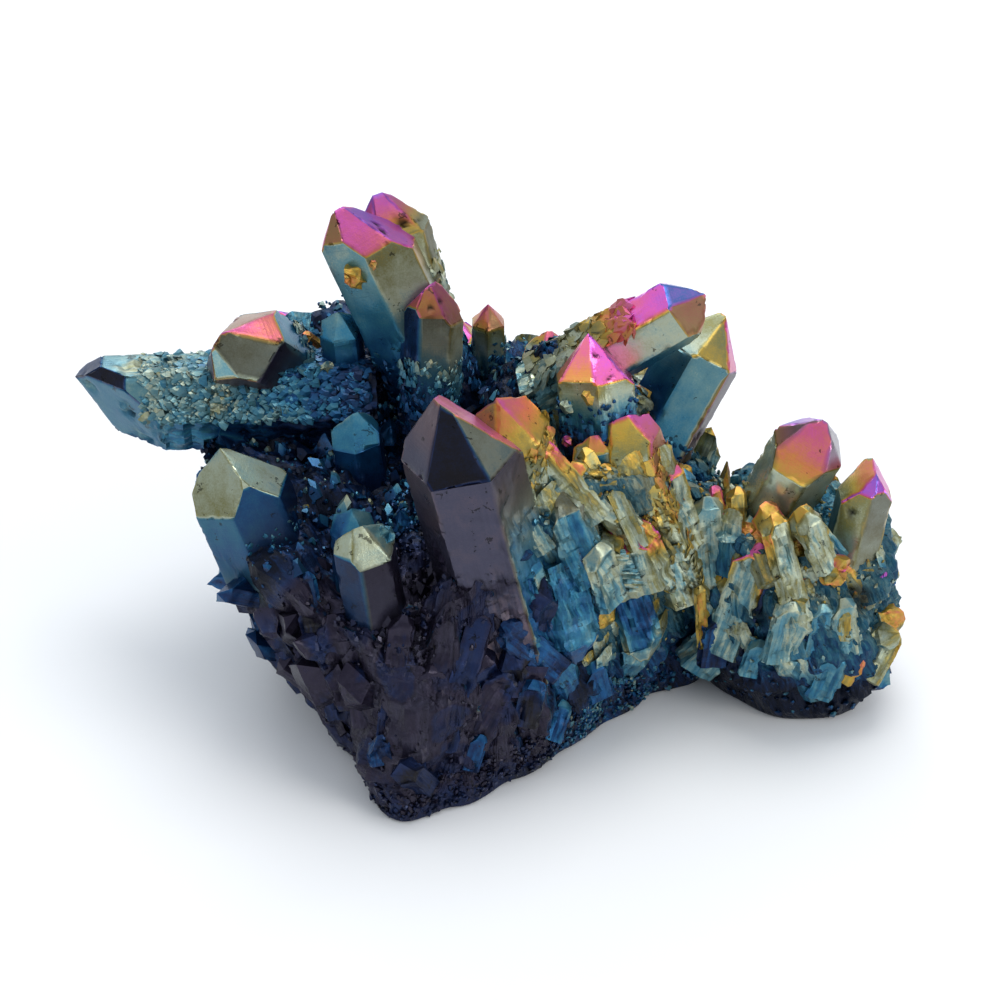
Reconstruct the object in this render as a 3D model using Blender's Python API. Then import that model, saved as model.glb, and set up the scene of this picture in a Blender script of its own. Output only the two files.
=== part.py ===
"""Titanium aura quartz cluster: one grown-together piece of quartz crystals on their own matrix.

Lengths are in millimetres up to the last step, where MM turns them into metres.
+Z is up, -Y is the front and +X the right side; the foot is flat and lies on Z = 0.
"""
import math
import random

import bmesh
import bpy
from mathutils import Matrix, Vector, noise

MM = 0.001
RHOMB_ANGLE = math.radians(38.2)  # quartz rhombohedral face to the long axis of the crystal
FRONT = Vector((0.0, -1.0, 0.7))  # a crystal's side 0 is the one turned this way
CENTRE_SHIFT = Vector((0.2, 0.6, 0.0))  # brings the middle of the foot to the origin

# The matrix: for each direction round its centre, the radius of the foot, the radius of the rim
# and the height of the rim.
WEDGE_CENTRE = (-4.0, 0.0)
WEDGE_VALLEY = 26.0
WEDGE_BELLY = 0.8
WEDGE_DIRECTIONS = (
    (-102, 27.7, 22.0, 19),
    (-90, 24.7, 20.0, 24),
    (-72, 21.0, 17.5, 29),
    (-51, 19.0, 17.0, 32),
    (-36, 19.0, 18.5, 33),
    (-15, 21.5, 22.5, 31),
    (-4, 27.0, 29.0, 26),
    (12, 27.0, 30.0, 22),
    (32, 24.0, 28.0, 25),
    (62, 22.0, 25.0, 28),
    (95, 21.0, 24.0, 27),
    (122, 21.0, 25.0, 34),
    (150, 19.0, 28.5, 30),
    (178, 17.0, 27.5, 28),
    (196, 15.0, 27.0, 27),
    (212, 16.5, 24.5, 24),
    (236, 19.5, 22.5, 20),
)
LOBE_CENTRE = (33.0, -1.0)
LOBE_VALLEY = 22.0
LOBE_BELLY = 2.2
LOBE_DIRECTIONS = (
    (-90, 8.4, 8.2, 22),
    (-45, 9.4, 9.0, 20),
    (0, 8.4, 9.4, 20),
    (50, 7.4, 8.5, 21),
    (90, 7.5, 8.0, 21),
    (180, 9.0, 10.0, 22),
    (225, 7.6, 8.4, 22),
)
RIDGE_CENTRE = (7.0, 5.0)  # the mound that the right spear grows out of
RIDGE_CROWN = 40.0
RIDGE_FLOOR = 14.0
RIDGE_DIRECTIONS = (
    (0, 11.0, 9.5, 33),
    (90, 11.0, 7.0, 32),
    (180, 9.5, 8.0, 33),
    (270, 6.0, 4.0, 33),
)
ROUND_STEPS = 52
SMALL_ROUND_STEPS = 28
WALL_STEPS = 9
TOP_STEPS = 6
COARSE_LUMP = (2.0, 6.5)  # height and spacing of the large lumps
FINE_LUMP = (0.9, 2.4)  # height and spacing of the small ones

# Every large crystal: its tip, its foot, its width across flats, how far its side 0 is rolled
# from the front, and how far each of the six tip faces stands off the tip.
CRYSTALS = {
    "front_tower": ((-4.5, -15, 44.9), (2.8, -13.6, 12), 11, -10, (0.6, 0.6, 0, 2.9, 2, 1)),
    "front_shoulder": ((0.4, -10, 43), (5.5, -9.5, 22), 8.4, 12, (0, 0, 2, 0, 2, 0)),
    "wall_lath": ((13.3, -5.4, 37.3), (21.3, -4.7, 14.5), 6.6, -7, (0, 0.8, 2.5, 0, 0.9, 0.6)),
    "centre_pyramid": ((10.5, 1, 43.6), (12, -4.6, 27.5), 8.1, 31, (0.5, 0, 0.2, 0.1, 0.6, 0.7)),
    "right_spear": ((21.9, 3.9, 46.2), (4.5, 5.2, 33.5), 6.7, 20, (1.3, 1.8, 0.5, 0.3, 1.1, 1.4)),
    "right_spear_pair": ((25, 10.6, 39.8), (14.6, 3, 22.5), 8.2, 19, (0.5, 0.4, 0.2, 0.6, 0.7, 0.2)),
    "lobe_tower": ((34.6, -3.1, 33.9), (26.5, 3.5, 10), 7.1, -7, (0, 1.3, 1.4, 1.5, 1.3, 1)),
    "lobe_side": ((40.5, -4.3, 29.6), (36.7, -5.8, 9), 5.5, 39, (1.6, 0.7, 1.9, 2, 0.2, 1.3)),
    "left_front": ((-28.8, -5.8, 33.8), (-22.6, -8.2, 17), 9.6, 14, (1.7, 0, 0.3, 0, 1.4, 0.2)),
    "front_small": ((-13.7, -17.3, 31.7), (-11.3, -15.5, 10.5), 6, 18, (0.3, 0.4, 1.3, 0, 1.3, 0.9)),
    "front_small_pair": ((-14.8, -13, 31.2), (-14.2, -14, 18), 4.4, 0, (0, 0, 1, 0, 1, 0)),
    "valley_block": ((-15.1, 0, 34.3), (-13, -1, 20), 5.2, 24, (0, 0.5, 1, 0, 1, 0)),
    "back_left_stub": ((-28.9, 6.2, 40.6), (-16.8, 16.5, 24), 9, 2, (1.2, 1, 0.3, 0.2, 1.9, 2.2)),
    "left_arm": ((-41.6, 7.1, 30.9), (-12.6, 8.2, 31), 9.2, 2, (2.5, 4.2, 5.3, 3.3, 3.3, 0)),
    "high_tower": ((-15, 12.9, 52.4), (-5, 9, 29), 9.3, 18, (1.2, 0, 0, 0, 2.1, 2.5)),
    "high_tower_pair": ((-12, 16.8, 51.3), (-5.5, 10.5, 27.6), 8, 17, (0.7, 0.6, 0.8, 0.1, 1, 1.3)),
    "middle_stub": ((-6.3, 8, 44.7), (-7.2, 1.5, 26), 5.9, 7, (0.9, 0.5, 1.4, 1.2, 0.8, 1.4)),
    "middle_small": ((-0.5, 13, 40), (-0.5, 12, 24), 3.6, 30, (0, 0, 0, 0, 0, 0)),
    "behind_stub": ((-16.7, 10, 41), (-15.6, 9, 28), 4.2, 10, (0, 0, 1, 0, 1, 0)),
}

# Flattened crystals and plates that lie against the front right wall: tip, foot, width and roll.
BLADES = {
    "blade_a": ((3.7, -11.5, 37.9), (10.5, -12.5, 29.0), 4.2, -20),
    "blade_b": ((6.5, -13.5, 33.2), (10.5, -14, 22.5), 4.6, 0),
    "blade_c": ((10.3, -6.5, 35.8), (11.6, -8, 26.0), 4.0, 10),
    "blade_d": ((7.9, -10.5, 34.5), (14.8, -10, 26.0), 3.2, 20),
    "blade_e": ((12.5, -9.5, 27.6), (15.5, -10.5, 19.0), 7.6, -10),
    "blade_f": ((17.0, -7, 27.6), (16.4, -7.4, 19.5), 3.6, 15),
    "blade_g": ((9.6, -16.5, 13.4), (6.6, -13.5, 25.0), 5.6, -25),
    "blade_h": ((16.9, -12, 10.2), (14.6, -9.5, 17.5), 4.0, 10),
    "blade_i": ((22.5, -4.5, 22.3), (25.0, -5, 11.0), 4.6, 0),
    "blade_j": ((27.8, -6.5, 11.6), (22.4, -5, 4.5), 5.2, 25),
    "blade_k": ((26.0, -5, 23.0), (31.2, -6.5, 18.5), 3.6, 15),
    "blade_l": ((28.6, -6, 26.4), (34.0, -8, 18.0), 3.2, 20),
    "blade_m": ((32.1, -8, 27.2), (37.0, -8, 20.5), 3.0, -10),
    "blade_n": ((32.3, -9.5, 20.2), (33.4, -8.5, 12.0), 3.6, 0),
    "blade_o": ((34.8, -10.3, 15.4), (31.0, -8.5, 8.0), 4.4, 20),
    "blade_p": ((45.0, -5, 11.6), (38.0, -5, 9.5), 5.4, 15),
    "blade_q": ((18.4, -5.5, 31.6), (21.4, -6, 21.0), 3.4, 30),
    "blade_r": ((2.2, -16.5, 27.5), (5.6, -15.5, 14.0), 4.8, -15),
    "blade_s": ((-2.4, -20.5, 17.8), (0.5, -17.5, 8.0), 4.6, 10),
    "blade_t": ((-8.8, -22.5, 14.6), (-7.0, -20, 5.0), 5.0, 25),
    "blade_u": ((-17.5, -17.5, 20.5), (-14.5, -16.5, 9.0), 5.6, -10),
    "blade_v": ((-24.2, -12.5, 19.6), (-18.5, -10.5, 8.0), 5.4, 15),
    "blade_w": ((-32.0, -1.5, 27.4), (-20.5, -1.0, 17.0), 5.4, 0),
}

# Crystals on the far side: tip, foot, width and roll.
FAR_CRYSTALS = {
    "far_a": ((-24.5, 23.0, 32.5), (-15.0, 13.0, 20.0), 7.0, 10),
    "far_b": ((-4.5, 27.0, 29.5), (-3.0, 15.0, 18.0), 6.2, 0),
    "far_c": ((11.5, 25.0, 30.5), (8.5, 13.5, 18.0), 6.8, 20),
    "far_d": ((19.5, 19.5, 29.0), (13.0, 11.5, 16.0), 6.0, 5),
    "far_e": ((35.5, 9.0, 27.0), (32.0, 1.0, 13.0), 5.6, 15),
    "far_f": ((-33.0, 17.0, 29.5), (-20.0, 9.0, 18.0), 6.4, 25),
    "far_g": ((6.0, 13.5, 36.2), (5.0, 9.0, 22.0), 4.6, 10),
}

# Small crystals scattered over the matrix. Levels run from 0 at the foot through 1 at the rim to
# 2 in the valley; outward is how much they point out of the surface against lying along it.
SCATTER_SEED = 11
SCATTER_SWAY = 0.35
SCATTER_LEAN = Vector((-0.2, 0.0, 0.8))
TOP_SCATTER = {
    "count": 34, "levels": (1.05, 1.8), "widths": (2.4, 3.8), "lengths": (4.0, 6.5), "outward": 1.0}
WALL_SCATTER = {
    "count": 54, "levels": (0.25, 0.95), "widths": (2.6, 4.6), "lengths": (5.0, 8.5), "outward": 0.5}
LOBE_SCATTER = {
    "count": 18, "levels": (0.15, 1.3), "widths": (2.2, 3.6), "lengths": (4.0, 6.0), "outward": 0.8}
FOOT_CLEARANCE = 0.6  # the crystals stay this far above the foot

SURFACE = {"colour": (0.05, 0.16, 0.26, 1.0), "roughness": 0.28, "metallic": 0.85}


def clear_scene():
    for item in list(bpy.data.objects):
        bpy.data.objects.remove(item, do_unlink=True)


def make_object(name, mesh):
    made = bpy.data.objects.new(name, mesh)
    bpy.context.scene.collection.objects.link(made)
    return made


def make_material(name, look):
    material = bpy.data.materials.new(name)
    material.use_nodes = True
    shader = material.node_tree.nodes["Principled BSDF"]
    shader.inputs["Base Color"].default_value = look["colour"]
    shader.inputs["Roughness"].default_value = look["roughness"]
    shader.inputs["Metallic"].default_value = look["metallic"]
    return material


def around(directions, angle):
    """Foot radius, rim radius and rim height at an angle in degrees, eased between directions."""
    count = len(directions)
    for index in range(count):
        start = directions[index]
        end = directions[(index + 1) % count]
        span = (end[0] - start[0]) % 360
        along = (angle - start[0]) % 360
        if along <= span:
            ease = along / span
            ease = ease * ease * (3 - 2 * ease)
            return [start[part] + (end[part] - start[part]) * ease for part in (1, 2, 3)]
    return list(directions[0][1:])


def matrix_point(shape, angle, level):
    """A point of the smooth matrix: level 0 is the foot's edge, 1 the rim and 2 the valley."""
    foot, rim, height = around(shape["directions"], angle)
    if level <= 1:
        radius = foot + (rim - foot) * level + shape["belly"] * math.sin(math.pi * level)
        z = shape["floor"] + (height - shape["floor"]) * level
    else:
        inward = level - 1
        radius = rim * (1 - inward)
        ease = inward * inward * (3 - 2 * inward)
        z = height + (shape["valley"] - height) * ease
    turn = math.radians(angle)
    x = shape["centre"][0] + radius * math.cos(turn)
    y = shape["centre"][1] + radius * math.sin(turn)
    return Vector((x, y, z))


def matrix_normal(shape, angle, level):
    step = 0.02
    low = max(level - step, 0.0)
    high = min(level + step, 1.95)
    across = matrix_point(shape, angle + 1, level) - matrix_point(shape, angle - 1, level)
    along = matrix_point(shape, angle, high) - matrix_point(shape, angle, low)
    return across.cross(along).normalized()


def lumps(point):
    coarse = noise.noise(point / COARSE_LUMP[1]) * COARSE_LUMP[0]
    fine = noise.noise(point / FINE_LUMP[1] + Vector((31, 7, 19))) * FINE_LUMP[0]
    return coarse + fine


def build_matrix(name, shape):
    """One lump of matrix: a flat foot, a lumpy wall that leans outwards, and a hollowed top."""
    work = bmesh.new()
    steps = shape["round_steps"]
    angles = [360 * index / steps for index in range(steps)]
    levels = [index / WALL_STEPS for index in range(WALL_STEPS + 1)]
    levels += [1 + index / TOP_STEPS for index in range(1, TOP_STEPS)]
    rings = []
    for level in levels:
        ring = []
        for angle in angles:
            point = matrix_point(shape, angle, level)
            hold = min(1.0, level * 4)
            point += matrix_normal(shape, angle, max(level, 0.05)) * lumps(point) * hold
            if level == 0:
                point.z = shape["floor"]
            ring.append(work.verts.new(point))
        rings.append(ring)
    top = work.verts.new(matrix_point(shape, 0, 2))
    bottom = work.verts.new((shape["centre"][0], shape["centre"][1], shape["floor"]))
    for index in range(steps):
        after = (index + 1) % steps
        for lower, upper in zip(rings, rings[1:]):
            work.faces.new((lower[index], lower[after], upper[after], upper[index]))
        work.faces.new((rings[-1][index], rings[-1][after], top))
        work.faces.new((rings[0][after], rings[0][index], bottom))
    bmesh.ops.triangulate(work, faces=work.faces)
    bmesh.ops.recalc_face_normals(work, faces=work.faces)
    mesh = bpy.data.meshes.new(name)
    work.to_mesh(mesh)
    work.free()
    return mesh


def slice_off(work, point, normal):
    """Cut away all that lies past a plane and close the cut with one flat face."""
    whole = work.verts[:] + work.edges[:] + work.faces[:]
    cut = bmesh.ops.bisect_plane(
        work, geom=whole, dist=1e-6, plane_co=point, plane_no=normal, clear_outer=True)
    rim = [item for item in cut["geom_cut"] if isinstance(item, bmesh.types.BMEdge)]
    if len(rim) > 2:
        bmesh.ops.contextual_create(work, geom=rim)


def crystal_axes(tip, foot, roll):
    axis = (tip - foot).normalized()
    side = (FRONT - axis * FRONT.dot(axis)).normalized()
    side = Matrix.Rotation(math.radians(roll), 3, axis) @ side
    return axis, side, axis.cross(side)


def build_crystal(name, tip, foot, width, roll, drops=(0, 0, 0, 0, 0, 0), flatness=1.0):
    """A six-sided quartz prism with a six-faced point, cut plane by plane out of a block."""
    tip = Vector(tip)
    foot = Vector(foot)
    axis, side, across = crystal_axes(tip, foot, roll)
    work = bmesh.new()
    block = (tip - foot).length * 2 + width * 4
    bmesh.ops.create_cube(work, size=block, matrix=Matrix.Translation((tip + foot) / 2))
    slice_off(work, foot, -axis)
    for index in range(6):
        turn = math.radians(60 * index)
        outward = side * math.cos(turn) + across * math.sin(turn)
        reach = width / 2 * (flatness if index in (0, 3) else 1.0)
        slice_off(work, foot + outward * reach, outward)
        slope = outward * math.cos(RHOMB_ANGLE) + axis * math.sin(RHOMB_ANGLE)
        slice_off(work, tip + slope * drops[index], slope)
    if foot.z < width or tip.z < width:
        slice_off(work, Vector((0, 0, FOOT_CLEARANCE)), Vector((0, 0, -1)))
    bmesh.ops.remove_doubles(work, verts=work.verts, dist=0.01)
    bmesh.ops.recalc_face_normals(work, faces=work.faces)
    mesh = bpy.data.meshes.new(name)
    work.to_mesh(mesh)
    work.free()
    return mesh


def scatter(prefix, shape, plan, chance):
    """Small crystals rooted at random places of a lump, between pointing out and lying along it."""
    grown = []
    for index in range(plan["count"]):
        angle = chance.uniform(0, 360)
        level = chance.uniform(*plan["levels"])
        width = chance.uniform(*plan["widths"])
        length = chance.uniform(*plan["lengths"])
        root = matrix_point(shape, angle, level)
        out = matrix_normal(shape, angle, level)
        sway = Vector([chance.uniform(-SCATTER_SWAY, SCATTER_SWAY) for _ in range(3)])
        heading = (out * plan["outward"] + SCATTER_LEAN + sway).normalized()
        foot = root - heading * width
        tip = root + heading * (length - width)
        drops = [chance.choice((0, 0, 0.4)) * width for _ in range(6)]
        roll = chance.uniform(0, 60)
        grown.append(build_crystal(f"{prefix}_{index:02d}", tip, foot, width, roll, drops))
    return grown


def build_cluster():
    wedge = {
        "centre": WEDGE_CENTRE,
        "directions": WEDGE_DIRECTIONS,
        "valley": WEDGE_VALLEY,
        "belly": WEDGE_BELLY,
        "floor": 0.0,
        "round_steps": ROUND_STEPS,
    }
    lobe = {
        "centre": LOBE_CENTRE,
        "directions": LOBE_DIRECTIONS,
        "valley": LOBE_VALLEY,
        "belly": LOBE_BELLY,
        "floor": 0.0,
        "round_steps": SMALL_ROUND_STEPS,
    }
    ridge = {
        "centre": RIDGE_CENTRE,
        "directions": RIDGE_DIRECTIONS,
        "valley": RIDGE_CROWN,
        "belly": 0.0,
        "floor": RIDGE_FLOOR,
        "round_steps": SMALL_ROUND_STEPS,
    }
    chance = random.Random(SCATTER_SEED)
    grown = [build_matrix("lobe_matrix", lobe), build_matrix("ridge_matrix", ridge)]
    for name, (tip, foot, width, roll, drops) in CRYSTALS.items():
        grown.append(build_crystal(name, tip, foot, width, roll, drops))
    for name, (tip, foot, width, roll) in BLADES.items():
        grown.append(build_crystal(name, tip, foot, width, roll, (0, 0.6, 1.2, 0, 0.8, 0), 0.7))
    for name, (tip, foot, width, roll) in FAR_CRYSTALS.items():
        grown.append(build_crystal(name, tip, foot, width, roll, (0, 0.4, 1.0, 0, 0.6, 0)))
    grown += scatter("top_crystal", wedge, TOP_SCATTER, chance)
    grown += scatter("wall_crystal", wedge, WALL_SCATTER, chance)
    grown += scatter("lobe_crystal", lobe, LOBE_SCATTER, chance)
    return build_matrix("quartz_cluster", wedge), grown


def unite(body, grown):
    """Join every crystal to the matrix, so that the whole is one closed solid."""
    pieces = bpy.data.collections.new("grown_crystals")
    bpy.context.scene.collection.children.link(pieces)
    for mesh in grown:
        piece = bpy.data.objects.new(mesh.name, mesh)
        pieces.objects.link(piece)
        piece.hide_render = True
        piece.display_type = "WIRE"
    join = body.modifiers.new("grown together", "BOOLEAN")
    join.operation = "UNION"
    join.solver = "EXACT"
    join.operand_type = "COLLECTION"
    join.collection = pieces


def to_metres(mesh):
    mesh.transform(Matrix.Scale(MM, 4) @ Matrix.Translation(CENTRE_SHIFT))


def main():
    clear_scene()
    matrix_mesh, grown = build_cluster()
    for mesh in [matrix_mesh] + grown:
        to_metres(mesh)
    cluster = make_object("quartz_cluster", matrix_mesh)
    cluster.data.materials.append(make_material("aura_quartz", SURFACE))
    unite(cluster, grown)


main()
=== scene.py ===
# Titanium aura quartz cluster: its crystals, matrix and druse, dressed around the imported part.
import math
import random

import bpy
import numpy as np
from mathutils import Matrix, Vector, noise


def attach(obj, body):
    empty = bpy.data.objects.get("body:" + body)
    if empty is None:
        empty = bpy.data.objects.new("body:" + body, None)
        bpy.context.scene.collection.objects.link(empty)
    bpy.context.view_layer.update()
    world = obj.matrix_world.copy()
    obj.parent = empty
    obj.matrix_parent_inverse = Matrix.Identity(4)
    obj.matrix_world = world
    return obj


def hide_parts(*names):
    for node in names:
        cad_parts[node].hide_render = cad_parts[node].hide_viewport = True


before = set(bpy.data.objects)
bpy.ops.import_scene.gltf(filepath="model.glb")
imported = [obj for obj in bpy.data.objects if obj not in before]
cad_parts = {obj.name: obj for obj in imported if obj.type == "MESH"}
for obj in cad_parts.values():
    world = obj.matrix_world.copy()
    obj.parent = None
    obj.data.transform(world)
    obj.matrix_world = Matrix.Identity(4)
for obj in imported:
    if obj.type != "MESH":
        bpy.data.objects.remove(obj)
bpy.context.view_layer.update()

mm = 0.001
rhombAngle = math.radians(38.2)  # quartz rhombohedral face to the crystal's long axis
frontWay = Vector((0.0, -1.0, 0.7))  # a crystal's side 0 is turned this way
centreShift = Vector((0.2, 0.6, 0.0))  # millimetres, as in the solid

# The studio: a camera, soft lamps, a tent of sky light and a pale floor.
studio = {
    "target": (0.001, 0.0006, 0.023),
    "distance": 0.45,
    "elevation": 35.0,
    "frameWidth": 0.10881,  # metres seen across the picture at the target
    "sensorWidth": 36.0,
    "nearestSeen": 0.01,
    "floorColour": (0.92, 0.92, 0.925, 1.0),
    "floorRoughness": 0.9,
    "floorSize": 6.0,
    "skyColour": (0.82, 0.88, 0.95, 1.0),
    "skyWay": (0.15, 0.45, 0.88),  # the brightest part of the soft light's tent
    "skySpread": (-0.2, 0.95),  # where it begins to brighten and where it is brightest
    "skyStrengths": (0.50, 1.05),  # away from it and towards it
}
lampSettings = {
    # name: place in metres, size in metres, watts, colour
    "overheadSoftbox": ((0.08, 0.16, 0.60), 0.40, 1.3, (1.0, 0.98, 0.95)),
    "rightSoftbox": ((0.42, -0.32, 0.28), 0.30, 0.9, (1.0, 0.97, 0.92)),
    "backSoftbox": ((-0.10, 0.48, 0.36), 0.26, 0.6, (0.92, 0.96, 1.0)),
    "leftCard": ((-0.46, -0.26, 0.22), 0.14, 0.12, (0.85, 0.92, 1.0)),
}


def standInStudio(name, data, place, look):
    # a camera or a lamp, turned along the way it looks
    holder = bpy.data.objects.new(name, data)
    holder.location = place
    holder.rotation_euler = look.to_track_quat("-Z", "Y").to_euler()
    bpy.context.scene.collection.objects.link(holder)
    return holder


def buildCamera():
    tilt = math.radians(studio["elevation"])
    away = Vector((0.0, -math.cos(tilt), math.sin(tilt)))
    lens = bpy.data.cameras.new("studioCamera")
    lens.sensor_width = studio["sensorWidth"]
    lens.lens = lens.sensor_width * studio["distance"] / studio["frameWidth"]
    lens.clip_start = studio["nearestSeen"]
    place = Vector(studio["target"]) + away * studio["distance"]
    bpy.context.scene.camera = standInStudio("studioCamera", lens, place, -away)


def buildLamps():
    target = Vector(studio["target"])
    for name, (place, size, watts, colour) in lampSettings.items():
        lamp = bpy.data.lights.new(name, "AREA")
        lamp.shape = "DISK"
        lamp.size = size
        lamp.energy = watts
        lamp.color = colour
        standInStudio(name, lamp, place, target - Vector(place))


def buildSky():
    world = bpy.data.worlds.new("studioWorld")
    world.use_nodes = True
    tree = world.node_tree
    sky = tree.nodes["Background"]
    sky.inputs["Color"].default_value = studio["skyColour"]
    place = addNode(tree, "ShaderNodeTexCoord", (-700, 0))
    facing = vectorNode(tree, "DOT_PRODUCT", (-500, 0), place.outputs["Generated"], studio["skyWay"])
    strength = addNode(tree, "ShaderNodeMapRange", (-300, 0), interpolation_type="SMOOTHSTEP")
    limits = (facing, *studio["skySpread"], *studio["skyStrengths"])
    for label, value in zip(("Value", "From Min", "From Max", "To Min", "To Max"), limits):
        feed(tree, strength.inputs[label], value)
    tree.links.new(strength.outputs["Result"], sky.inputs["Strength"])
    bpy.context.scene.world = world


def buildFloor():
    deselectAll()
    bpy.ops.mesh.primitive_plane_add(size=studio["floorSize"], location=(0, 0, 0))
    floor = bpy.context.object
    floor.name = "studioFloor"
    paint = bpy.data.materials.new("paleFloor")
    paint.use_nodes = True
    shader = paint.node_tree.nodes["Principled BSDF"]
    shader.inputs["Base Color"].default_value = studio["floorColour"]
    shader.inputs["Roughness"].default_value = studio["floorRoughness"]
    floor.data.materials.append(paint)


def buildStudio():
    buildCamera()
    buildLamps()
    buildSky()
    bpy.context.scene.view_settings.view_transform = "Standard"
    buildFloor()
    print("studio ready")


# Selecting, shaping and reading meshes.
def deselectAll():
    if bpy.context.object and bpy.context.object.mode != "OBJECT":
        bpy.ops.object.mode_set(mode="OBJECT")
    bpy.ops.object.select_all(action="DESELECT")


def pick(piece):
    deselectAll()
    piece.select_set(True)
    bpy.context.view_layer.objects.active = piece


def subdivideFaces(piece, levels):
    finer = piece.modifiers.new("finer faces", "SUBSURF")
    finer.subdivision_type = "SIMPLE"
    finer.levels = levels
    finer.render_levels = levels
    pick(piece)
    bpy.ops.object.modifier_apply(modifier=finer.name)


def placePiece(piece, points, material, crease):
    # from millimetres to the frame's metres; edges sharper than the crease stay sharp
    movePoints(piece.data, (points + np.array(centreShift)) * mm)
    piece.data.materials.append(material)
    pick(piece)
    bpy.ops.object.shade_smooth_by_angle(angle=math.radians(crease))
    return piece


def ease(value, low, high):
    share = np.clip((value - low) / (high - low), 0.0, 1.0)
    return share * share * (3 - 2 * share)


def meshVectors(mesh, label):
    values = np.empty(len(mesh.vertices) * 3)
    mesh.vertices.foreach_get(label, values)
    return values.reshape(-1, 3)


def movePoints(mesh, points):
    mesh.vertices.foreach_set("co", np.ascontiguousarray(points, dtype=np.float64).ravel())
    mesh.update()


def storeLayers(mesh, strand, **shades):
    # strand: places across and along the growth, in millimetres, squeezed along it
    for name, values in shades.items():
        layer = mesh.attributes.new(name, "FLOAT", "POINT")
        layer.data.foreach_set("value", np.ascontiguousarray(values, dtype=np.float32))
    layer = mesh.attributes.new("strand", "FLOAT_VECTOR", "POINT")
    layer.data.foreach_set("vector", np.ascontiguousarray(strand, dtype=np.float32).ravel())


def noiseField(points, size, offset=(0.0, 0.0, 0.0)):
    shift = Vector(offset)
    return np.array([noise.noise(Vector(point) / size + shift) for point in points])


def between(limits, share):
    return limits[0] + (limits[1] - limits[0]) * share


# The film's colour runs from navy in the hollows to violet at the points.
filmStops = (
    # place on the film scale, colour (linear)
    (0.00, (0.003, 0.007, 0.022)),
    (0.08, (0.004, 0.020, 0.075)),
    (0.17, (0.008, 0.070, 0.190)),
    (0.27, (0.028, 0.150, 0.235)),
    (0.36, (0.115, 0.235, 0.255)),
    (0.43, (0.350, 0.390, 0.290)),
    (0.51, (0.190, 0.185, 0.075)),
    (0.60, (0.440, 0.290, 0.045)),
    (0.69, (0.520, 0.175, 0.060)),
    (0.77, (0.520, 0.100, 0.180)),
    (0.84, (0.500, 0.080, 0.330)),
    (0.92, (0.260, 0.080, 0.430)),
    (1.00, (0.040, 0.100, 0.340)),
)
# The shaded side's own run, used for the painted shade of the dusky side and of dark faces, and for some
# muted faces: near black, deep blue, plum, slate, mauve and lilac.
duskStops = (
    (0.00, (0.009, 0.008, 0.012)),
    (0.18, (0.009, 0.020, 0.070)),
    (0.38, (0.019, 0.015, 0.031)),
    (0.60, (0.049, 0.048, 0.079)),
    (0.75, (0.110, 0.078, 0.092)),
    (0.90, (0.260, 0.240, 0.270)),
    (1.00, (0.480, 0.450, 0.470)),
)
# Names for places on the film scale, with the share of the shaded side's run.
tints = {
    "ink": (0.02, 0.0), "navy": (0.08, 0.0), "blue": (0.17, 0.0), "teal": (0.27, 0.0),
    "mist": (0.36, 0.0), "pale": (0.43, 0.0), "olive": (0.51, 0.0), "gold": (0.60, 0.0),
    "orange": (0.69, 0.0), "rose": (0.77, 0.0), "magenta": (0.84, 0.0), "violet": (0.92, 0.0),
    "indigo": (0.99, 0.0), "umber": (0.66, 0.5), "night": (0.02, 1.0), "dusk": (0.18, 1.0),
    "plum": (0.40, 1.0), "slate": (0.60, 1.0), "mauve": (0.75, 1.0), "lilac": (0.90, 1.0),
    "smoke": (0.48, 0.5), "ash": (0.46, 0.25), "moss": (0.48, 0.6), "fern": (0.37, 0.55),
}


def addNode(tree, kind, place, **values):
    node = tree.nodes.new(kind)
    node.location = place
    for name, value in values.items():
        setattr(node, name, value)
    return node


def feed(tree, socket, value):
    # another node's output is linked to the socket, and a number or a colour is set on it
    if isinstance(value, bpy.types.NodeSocket):
        tree.links.new(value, socket)
    elif value is not None:
        socket.default_value = value


def rampNode(tree, place, stops, value):
    node = addNode(tree, "ShaderNodeValToRGB", place)
    elements = node.color_ramp.elements
    elements.remove(elements[0])
    elements[0].position = stops[0][0]
    elements[0].color = (*stops[0][1], 1.0)
    for position, colour in stops[1:]:
        elements.new(position).color = (*colour, 1.0)
    feed(tree, node.inputs["Fac"], value)
    return node.outputs[0]


def mathNode(tree, operation, place, first, second, third=None):
    node = addNode(tree, "ShaderNodeMath", place, operation=operation)
    for socket, value in zip(node.inputs, (first, second, third)):
        feed(tree, socket, value)
    return node.outputs[0]


def vectorNode(tree, operation, place, first, second=None, scale=None):
    node = addNode(tree, "ShaderNodeVectorMath", place, operation=operation)
    for index, value in ((0, first), (1, second), (3, scale)):
        feed(tree, node.inputs[index], value)
    return node.outputs["Value" if operation == "DOT_PRODUCT" else "Vector"]


def mixColours(tree, place, share, first, second):
    node = addNode(tree, "ShaderNodeMix", place, data_type="RGBA")
    for index, value in ((0, share), (6, first), (7, second)):
        feed(tree, node.inputs[index], value)
    return node.outputs[2]


def noiseNode(tree, place, vector, scale, detail, dimensions="3D"):
    node = addNode(tree, "ShaderNodeTexNoise", place, noise_dimensions=dimensions)
    node.inputs["Scale"].default_value = scale
    node.inputs["Detail"].default_value = detail
    node.inputs["Roughness"].default_value = 0.6
    tree.links.new(vector, node.inputs["W" if dimensions == "1D" else "Vector"])
    return node.outputs["Fac"]


def cellNode(tree, place, vector, scale):
    # cells, and a number of its own for each
    cells = addNode(tree, "ShaderNodeTexVoronoi", place)
    feed(tree, cells.inputs["Scale"], scale)
    feed(tree, cells.inputs["Vector"], vector)
    parts = addNode(tree, "ShaderNodeSeparateColor", (place[0] + 250, place[1]))
    feed(tree, parts.inputs[0], cells.outputs["Color"])
    return cells.outputs, parts.outputs[0]


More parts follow.
